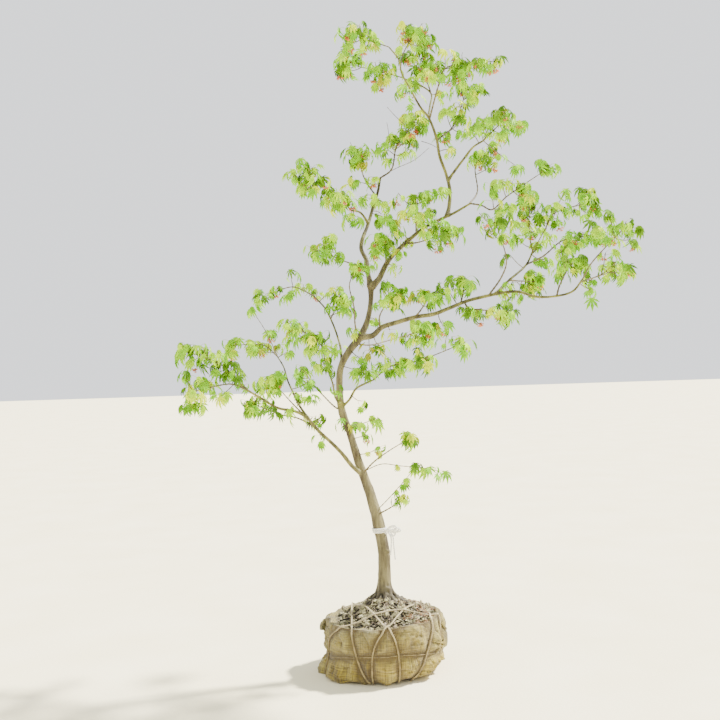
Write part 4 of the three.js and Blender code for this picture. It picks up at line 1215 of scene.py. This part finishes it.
def add_stray_fibre(heap, start, way, draw):
    """A short hair that stands off a rope and stays over the floor"""
    DRIFT = 2.5
    OVER_FLOOR = (-1e4, -1e4, 0.4)
    drift = np.array([draw(-1, 1), draw(-1, 1), draw(-1, 1)]) * DRIFT
    hair = [start, start + way * draw(1, 2.5) + drift, start + way * draw(2, 4) + drift * 2]
    heap.tube([np.maximum(point, OVER_FLOOR) for point in hair], [0.22, 0.18, 0.12], 3)


def settle(heap):
    """Lowers a piece of the ball a little towards the rim's left side, where the ball has sunk"""
    SUNK, SUNK_SIDE = 11, 3.5
    points = np.concatenate(heap.points)
    turns = np.arctan2(points[:, 1], points[:, 0])
    outer = np.clip((np.hypot(points[:, 0], points[:, 1]) - 50) / 100, 0, 1)
    upper = np.clip((points[:, 2] - 40) / 110, 0, 1)
    points[:, 2] -= SUNK * np.maximum(0, np.cos(turns - SUNK_SIDE)) * outer * upper
    heap.points = [points]


def passed_over(route, earlier):
    """The route raised in long low humps where it crosses ropes that are laid already"""
    HUMP, STEP = 16, 4  # half the length of a hump, and the distance between the points
    path = Path(route)
    points = path.at(np.linspace(0, 1, int(path.length / STEP)))
    if not len(earlier):
        return points
    tree = tree_of(earlier)
    short = np.array([max(0, LAID_DIAMETER - tree.find(Vector(p))[2]) for p in points])
    steps = np.arange(len(points)) * STEP
    humps = np.exp(-(((steps[:, None] - steps[None, :]) / HUMP) ** 2)) * short[None, :]
    away = points - UP * 40
    return points + away / np.linalg.norm(away, axis=1)[:, None] * humps.max(1)[:, None]


def lay_ropes():
    """The lacing and the string, and where their middles lie"""
    ropes, fibres = Heap(), seeded(77)
    laid = []
    for run in LACING:
        route = passed_over(rope_route(*run), np.concatenate(laid) if laid else [])
        laid.append(lay_rope(ropes, route, LAID_DIAMETER, 19, draw=fibres))
    laid.append(lay_rope(ropes, string_route(), STRING_DIAMETER, 13, draw=fibres))
    return ropes, np.concatenate(laid)


def cloth_noise(turn, height, width, tall, detail=3):
    """Soft noise over the cloth that meets itself round the ball"""
    x, y = math.cos(turn) * BALL_RADIUS / width, math.sin(turn) * BALL_RADIUS / width
    return noise.fractal(Vector((x, y, height / tall)), 1.0, 2.0, detail)


def fold_at(place, sharpness):
    """A fold of cloth along a wave: round crests and narrow valleys"""
    return abs(math.sin(place)) ** sharpness


def pulled_folds(turn, height):
    """Folds that run together where the cloth is gathered"""
    GATHERED = [  # (turn, height, depth, width)
        (-0.4, 84, 21, 60), (-0.6, 16, 15, 52), (3.4, 60, 7, 46), (3.08, 26, 8, 50), (2.86, 128, 6, 46),
        (1.2, 120, 7, 50), (-1.0, 34, 6, 40), (0.4, 40, 9, 60), (2.2, 60, 8, 60),
    ]
    RAYS, SHARPNESS, CALM_MIDDLE = 5, 0.6, 14
    total = 0
    for fold_turn, fold_height, depth, width in GATHERED:
        across = math.remainder(turn - fold_turn, 2 * math.pi) * BALL_RADIUS
        away = math.hypot(across, height - fold_height)
        if away > 2.5 * width:
            continue
        ray = fold_at(RAYS * math.atan2(height - fold_height, across) + 3 * fold_turn, SHARPNESS) - 0.6
        total += depth * ray * math.exp(-((away / width) ** 2)) * min(1, away / CALM_MIDDLE)
    return total + folded_tongue(turn, height)


def folded_tongue(turn, height):
    """A fold that juts out over the tucked-in foot at the ball's right side"""
    MIDDLE, WIDTH, DEPTH, EDGE = -0.42, 0.3, 17, 42
    edge = EDGE + 5 * math.sin(6 * turn)
    beside = math.exp(-((math.remainder(turn - MIDDLE, 2 * math.pi) / WIDTH) ** 2))
    rise = min(max((height - edge) / 5 + 1, 0), 1)
    return DEPTH * beside * rise * math.exp(-max(height - edge, 0) / 16)


def cloth_side(turn, height, from_rope):
    """A point of the burlap's side and how dark it is made there: the cloth is pulled in under the ropes,
    full between them and gathered at its foot, and where it is drawn in, its darkening is painted shade"""
    slack = 1 - math.exp(-((max(from_rope - 4, 0) / 16) ** 1.6))
    foot = math.exp(-height / 26)
    gathers = 5.5 * turn + math.sin(3 * turn)
    slanting = (turn * BALL_RADIUS + 0.7 * height) / 19
    gather = foot * (9 * fold_at(gathers, 0.7) + 2.5 * math.sin(31 * turn) - 4)
    crease = 2.6 * fold_at(slanting + 3 * cloth_noise(turn, height, 90, 70), 0.5)
    sag = 4 * fold_at(height / 17 + 5 * cloth_noise(turn, height, 70, 90), 0.6) - 2
    lumps = 8 * cloth_noise(turn, height, 46, 30)
    round_off = 6 * max(0, (height - RIM_HEIGHT + 12) / 12) ** 2
    folds = lumps + crease + gather + sag
    bulge = 0.5 + slack * (6 + 5 * foot + folds) - round_off
    bulge += (0.35 + 0.65 * slack) * pulled_folds(turn, height)
    bulge = max(bulge, 0.3 - 2 * foot)
    rise = 6 * cloth_noise(turn, 0, 40, 1) * slack * (height / RIM_HEIGHT) ** 8
    rise += 8 * slack * foot * fold_at(gathers + 1.2, 1.5)
    point = on_burlap(turn, height) + outward(turn) * bulge + UP * rise
    # The less the cloth bulges out, the darker it is made: painted shade in its creases and under the
    # ropes
    return point, max(0, 1 - bulge / 7)


def cloth_flap(turn, share):
    """A point of the burlap's ragged edge, which is turned in over the soil"""
    reach = FLAP_REACH + 12 * cloth_noise(turn, 0, 30, 1) + 4 * cloth_noise(turn, 5, 6, 1)
    start = wrap_radius(turn, RIM_HEIGHT) - 1.5
    radius = start - reach * share
    lift = 3.5 * math.sin(math.pi * min(share * 1.5, 1)) * (1 + 0.8 * cloth_noise(turn, 9, 20, 1))
    ground = soil_height(radius) + 1.5
    level = ground + (RIM_HEIGHT - ground) * max(0, 1 - 2.5 * share) - 2.5 * share**3
    return outward(turn) * radius + UP * (level + lift)


def wrap_cloth(ropes):
    """The burlap in rings: its underside, its side and its turned-in edge"""
    COLUMNS, SIDE_RINGS, FLAP_RINGS = 560, 84, 12
    UNDERSIDE = (0.0, 0.35, 0.7, 0.88, 0.96)  # shares of the way from the middle to the side
    tree = tree_of(ropes)
    turns = np.arange(COLUMNS) * 2 * math.pi / COLUMNS
    # Darkening for each point: full on the underside, rising towards the turned-in edge's inner rim, and
    # on the side painted shade where the cloth is drawn in
    points, cloth, dirt = [], [], []
    for share in UNDERSIDE:
        points += [outward(t) * wrap_radius(t, 0) * share for t in turns]
        cloth += [(t * BALL_RADIUS, -BALL_RADIUS * (1 - share), 0) for t in turns]
        dirt += [1.0] * COLUMNS
    for height in np.linspace(0, RIM_HEIGHT, SIDE_RINGS):
        for turn in turns:
            point, darkened = cloth_side(turn, height, tree.find(Vector(on_burlap(turn, height)))[2])
            points.append(point)
            dirt.append(darkened)
        cloth += [(t * BALL_RADIUS, height, 0) for t in turns]
    for share in np.linspace(0, 1, FLAP_RINGS)[1:]:
        points += [cloth_flap(t, share) for t in turns]
        cloth += [(t * BALL_RADIUS, RIM_HEIGHT + FLAP_REACH * share, 0) for t in turns]
        dirt += [0.4 * share] * COLUMNS
    wrap = Heap()
    wrap.add(points, grid_faces(len(points) // COLUMNS, COLUMNS))
    settle(wrap)
    piece = wrap.to_object("burlap", burlap_material)
    keep_on_points(piece.data, "dirt", dirt)
    keep_on_points(piece.data, "cloth", np.array(cloth, np.float32) * MM)
    return piece


def add_ear(ears, ties, turn, height, reach, drop, plumpness):
    """A corner of the cloth, tied at its neck and hanging in a flat pleated fan against the ball.
    It returns where each of its points lies on the flat cloth."""
    SIDES, STEPS = 56, 34
    NECK, NECK_LENGTH = 0.36, 0.1  # shares of the corner's way
    THINNING = 0.75  # share of the way from which the fan thins to its edge
    out = outward(turn)
    route = [
        (-4, height + 14), (0.3 * reach, height + 7), (0.62 * reach, height - 0.5 * drop),
        (0.55 * reach, height - 1.4 * drop - 8),
    ]
    path = Path([out * (wrap_radius(turn, height) + off) + UP * max(level, 4) for off, level in route])
    shares = np.linspace(0, 1, STEPS)
    points = path.at(shares)
    beside = np.array([-out[1], out[0], 0.0])
    over = [unit(np.cross(ahead, beside)) for ahead in np.gradient(points, axis=0)]
    angles = 2 * math.pi * np.arange(SIDES) / SIDES
    span, rings = np.cos(angles), []
    for share, middle, upper in zip(shares, points, over):
        neck = math.exp(-(((share - NECK) / NECK_LENGTH) ** 2))
        fan = max(share - NECK, 0)
        wide = 15 - 9 * neck + 34 * fan**0.8
        pleat = (1.5 + 7 * fan) * np.sin(7.5 * span + 3 * turn) * (1 - neck)
        edge = math.sqrt(1 - 0.9 * max((share - THINNING) / (1 - THINNING), 0) ** 2)
        thick = (6 - 1.5 * neck - 3 * fan) * plumpness * edge * np.sin(angles)
        hem = 7 * share**3 * np.sin(3.1 * span + 5 * turn)
        ring = middle + np.outer(wide * span, beside) + np.outer(pleat + thick, upper)
        ring += np.outer(hem, unit(points[-1] - points[-2]))
        ring[:, 2] = np.maximum(ring[:, 2], 0.5)
        rings.append(ring)
    ears.add(np.concatenate(rings), [*grid_faces(STEPS, SIDES), last_ring(STEPS, SIDES)])
    k = int(NECK * STEPS)
    tie_neck(ties, points[k], beside, over[k], unit(points[k + 1] - points[k]))
    return [(30 * x, height + i * 1.6, 0) for i in range(STEPS) for x in span]


def tie_neck(ties, middle, beside, over, ahead):
    """Two turns of twine round a corner's neck"""
    HALF_WIDTH, HALF_DEPTH, PITCH = 7.5, 6.5, 1.3
    winding = [
        middle + math.cos(a) * beside * HALF_WIDTH + math.sin(a) * over * HALF_DEPTH
        + ahead * (a / math.pi * PITCH - 2 * PITCH)
        for a in np.linspace(0, 4 * math.pi, 33)
    ]
    lay_rope(ties, winding, 2.8, 9, 2)


def add_ears():
    ears, ties, cloth = Heap(), Heap(), []
    for ear in EARS:
        cloth += add_ear(ears, ties, *ear)
    settle(ears)
    piece = ears.to_object("burlap_ears", burlap_material)
    keep_on_points(piece.data, "cloth", np.array(cloth) * MM)
    return piece, ties


def mound_height(place):
    """The soil as it shows: drawn up round the trunk's foot, fuller at the ball's right side"""
    distance, turn = math.hypot(*place[:2]), math.atan2(place[1], place[0])
    shoulder = 7 * math.exp(-(((distance - 112) / 40) ** 2)) * math.cos(turn - 0.35)
    return soil_height(distance) + 12 * math.exp(-((distance / 50) ** 2)) + shoulder


def add_crumb(heap, middle, size, draw):
    """An angular crumb"""
    corners = [(1, 0, 0), (0, 1, 0), (-1, 0, 0), (0, -1, 0), (0, 0, 1), (0, 0, -1)]
    stretch = np.array([draw(0.6, 1.5), draw(0.6, 1.5), draw(0.4, 0.9)]) * size
    turn = draw(0, math.pi)
    points = [turned(np.array(c, float), UP, turn) * stretch * draw(0.75, 1.2) + middle for c in corners]
    heap.add(points, [(k, (k + 1) % 4, 4) for k in range(4)] + [((k + 1) % 4, k, 5) for k in range(4)])


def add_rootlet(heap, draw):
    """A loose bit of root that lies on the soil"""
    turn, distance = draw(0, 2 * math.pi), draw(34, SOIL_RADIUS - 22)
    middle, way = outward(turn) * distance, outward(draw(0, 2 * math.pi)) * draw(8, 26)
    route = [middle + way * s + outward(turn + s) * draw(-5, 5) for s in (-1, -0.3, 0.4, 1)]
    path = Path([p + UP * (mound_height(p) + draw(0, 4)) for p in route])
    heap.tube(path.at(np.linspace(0, 1, 9)), np.full(9, draw(0.5, 1.1)), 4)


def heap_soil():
    """The mound with its crumbs, the chips and rootlets on it, and how much painted shade each point of
    the mound gets, the more the deeper it lies in a hollow"""
    COLUMNS, ROWS = 300, 80
    CRUMBS, ROOTLETS = 1200, 170
    OF_SOIL = 0.84  # of the crumbs, while the others are chips
    soil, chips = Heap(), Heap()
    draw = seeded(311)
    points, pit_shades = [], []
    for share in np.linspace(0.14, 1, ROWS):
        for turn in np.arange(COLUMNS) * 2 * math.pi / COLUMNS:
            edge = wrap_radius(turn, SOIL_EDGE) - WRAP_THICKNESS
            place = outward(turn) * edge * share
            lumps = abs(noise.fractal(Vector(place * (0.036, 0.05, 0)), 0.9, 2.1, 3)) * 19 - 6
            grains = noise.fractal(Vector(place * 0.11), 0.8, 2.2, 3) * 3
            points.append(place + UP * (mound_height(place) + lumps + grains))
            # Painted shade: the lower the lumps and grains leave a point, the darker
            pit_shades.append(max(0, 0.5 - 0.12 * (lumps + grains)) * 0.3)
    soil.add(points, grid_faces(ROWS, COLUMNS))
    for _ in range(CRUMBS):
        turn, distance = draw(0, 2 * math.pi), SOIL_RADIUS * math.sqrt(draw(0.05, 0.93))
        place = outward(turn) * distance
        heap = soil if draw() < OF_SOIL else chips
        middle = place + UP * (mound_height(place) + draw(-1, 4))
        add_crumb(heap, middle, draw(1.8, 5.2) * draw(0.7, 1.6), draw)
    for _ in range(ROOTLETS):
        add_rootlet(chips, draw)
    pit_shades += [0] * (soil.count - len(pit_shades))
    return soil, chips, pit_shades


def spread_roots():
    """Thin roots that run out from the trunk's foot over the soil"""
    STARTS = (-0.7, -0.45, -0.1, 0.2, 0.9, 2.0, 2.9, 3.7, 4.4, 5.1)
    roots, draw = Heap(), seeded(97)
    for turn in STARTS:
        route, length = [], draw(50, 95)
        for share in np.linspace(0, 1, 6):
            distance = 22 + length * share
            sway = turn + draw(-0.1, 0.1) + 0.3 * share * draw(-1, 1)
            place = outward(sway) * distance
            route.append(place + UP * (mound_height(place) + 3 - 5 * share**3))
        route[0] = route[0] + UP * 8
        roots.tube(Path(route).at(np.linspace(0, 1, 24)), np.linspace(3.4, 0.9, 24), 8)
    return roots


burlap_material = make_burlap()
rope_material = make_rope_material()
chip_material = make_twig_material("chips", (0.1, 0.075, 0.045), (0.32, 0.25, 0.16))

ropes, rope_places = lay_ropes()
ears, ear_ties = add_ears()
dressed(wrap_cloth(rope_places), "burlap", "burlap_wrap")
dressed(ears, "burlap")
soil, chips, pit_shades = heap_soil()
surface_roots = spread_roots()
for piece in (ropes, ear_ties, soil, chips, surface_roots):
    settle(piece)
dressed(ropes.to_object("ropes", rope_material), "jute", "jute_lacing")
dressed(ear_ties.to_object("ear_ties", rope_material), "jute")
ground = dressed(soil.to_object("soil", make_soil(), smooth=False), "soil", "root_ball_soil")
keep_on_points(ground.data, "pit", pit_shades)
dressed(chips.to_object("soil_chips", chip_material, smooth=False), "soil")
dressed(surface_roots.to_object("surface_roots", bark_material), "bark")


# Soft tie: three turns round the trunk, a bow of four loops and two tails

TIE_DIAMETER, KNOT_DIAMETER = 5.4, 6
TIE_PITCH = 12
TIE_LEVEL, TIE_RISE = 397, 15  # where the turns start, and how far up they run
TIE_KNOT = (13, 404, -8)
TIE_LOOPS = [  # steps from the knot, to the right, behind and up
    [(0, 0, 0), (20, -8, 11), (38, -10, 6), (42, -10, -1), (20, -8, -5), (0, 0, -2)],
    [(0, 0, 0), (12, -14, 13), (26, -22, 16), (30, -22, 8), (12, -12, 0)],
    [(0, 0, 0), (16, -16, 4), (34, -18, 9), (37, -17, 3), (16, -12, -2)],
    [(0, 0, 0), (14, -12, -2), (26, -14, -9), (19, -14, -15), (8, -8, -8)],
]
TIE_TAILS = [
    [(0, -2, 0), (18, -10, -14), (21, -10, -44), (24, -10, -84)],
    [(2, -4, 0), (13, -14, -18), (13, -14, -46), (10, -13, -70)],
]
OVER_KNOT = [(-6, 2, 5), (-1, -7, 2), (6, -7, -2), (9, -1, -6)]


def tie_trunk():
    """The turns round the trunk, then the loops and tails, and the strand over their knot"""
    tie, knot, trunk = Heap(), seen(TIE_KNOT), limbs["trunk"]
    shares = np.linspace(0.1, 0.35, 200)
    levels = trunk.path.at(shares)[:, 2]
    turns = np.linspace(0, 6.4 * math.pi, 130)
    winding = []
    for turn in turns:
        share = np.interp(TIE_LEVEL + TIE_RISE * turn / turns[-1], levels, shares)
        winding.append(trunk.path.at(share) + outward(turn - 0.9) * (trunk.girth(share) / 2 + 2.6))
    lay_rope(tie, winding, TIE_DIAMETER, TIE_PITCH, 2)
    for steps in (*TIE_LOOPS, *TIE_TAILS, OVER_KNOT):
        diameter = KNOT_DIAMETER if steps is OVER_KNOT else TIE_DIAMETER
        lay_rope(tie, [knot + np.array(step, float) for step in steps], diameter, TIE_PITCH, 2)
    return tie


dressed(tie_trunk().to_object("tie", make_cotton()), "cotton", "trunk_tie")


# Floor, light and camera

FLOOR_SIZE = 60  # metres
SKY_STRENGTH, SUN_STRENGTH = 1.6, 17.0
SKY_COLOUR, SUN_COLOUR = (0.95, 0.97, 1.0), (1.0, 0.96, 0.88)
SUN_WIDTH = math.radians(5)
TOWARDS_SUN = Vector((0.8, 0.3, 1.0))
FOCAL_LENGTH, SENSOR_WIDTH = 48, 36
PITCH, ROLL = math.radians(0.24), math.radians(-1.8)


def add_floor():
    bpy.ops.mesh.primitive_plane_add(size=FLOOR_SIZE)
    floor = bpy.context.object
    floor.name = "floor"
    floor.data.materials.append(make_floor())


def add_light():
    world = bpy.data.worlds.new("soft_light")
    bpy.context.scene.world = world
    world.use_nodes = True
    background = world.node_tree.nodes["Background"]
    background.inputs["Color"].default_value = (*SKY_COLOUR, 1)
    background.inputs["Strength"].default_value = SKY_STRENGTH
    lamp = bpy.data.lights.new("key", "SUN")
    lamp.energy = SUN_STRENGTH
    lamp.angle = SUN_WIDTH
    lamp.color = SUN_COLOUR
    key = bpy.data.objects.new("key", lamp)
    key.rotation_euler = TOWARDS_SUN.to_track_quat("Z", "Y").to_euler()
    bpy.context.scene.collection.objects.link(key)


def add_camera():
    lens = bpy.data.cameras.new("camera")
    lens.lens, lens.sensor_width = FOCAL_LENGTH, SENSOR_WIDTH
    camera = bpy.data.objects.new("camera", lens)
    camera.location = VIEWPOINT * MM
    aim = Matrix.Rotation(math.pi / 2 + PITCH, 3, "X") @ Matrix.Rotation(ROLL, 3, "Z")
    camera.rotation_euler = aim.to_euler()
    bpy.context.scene.collection.objects.link(camera)
    bpy.context.scene.camera = camera


add_floor()
add_light()
add_camera()
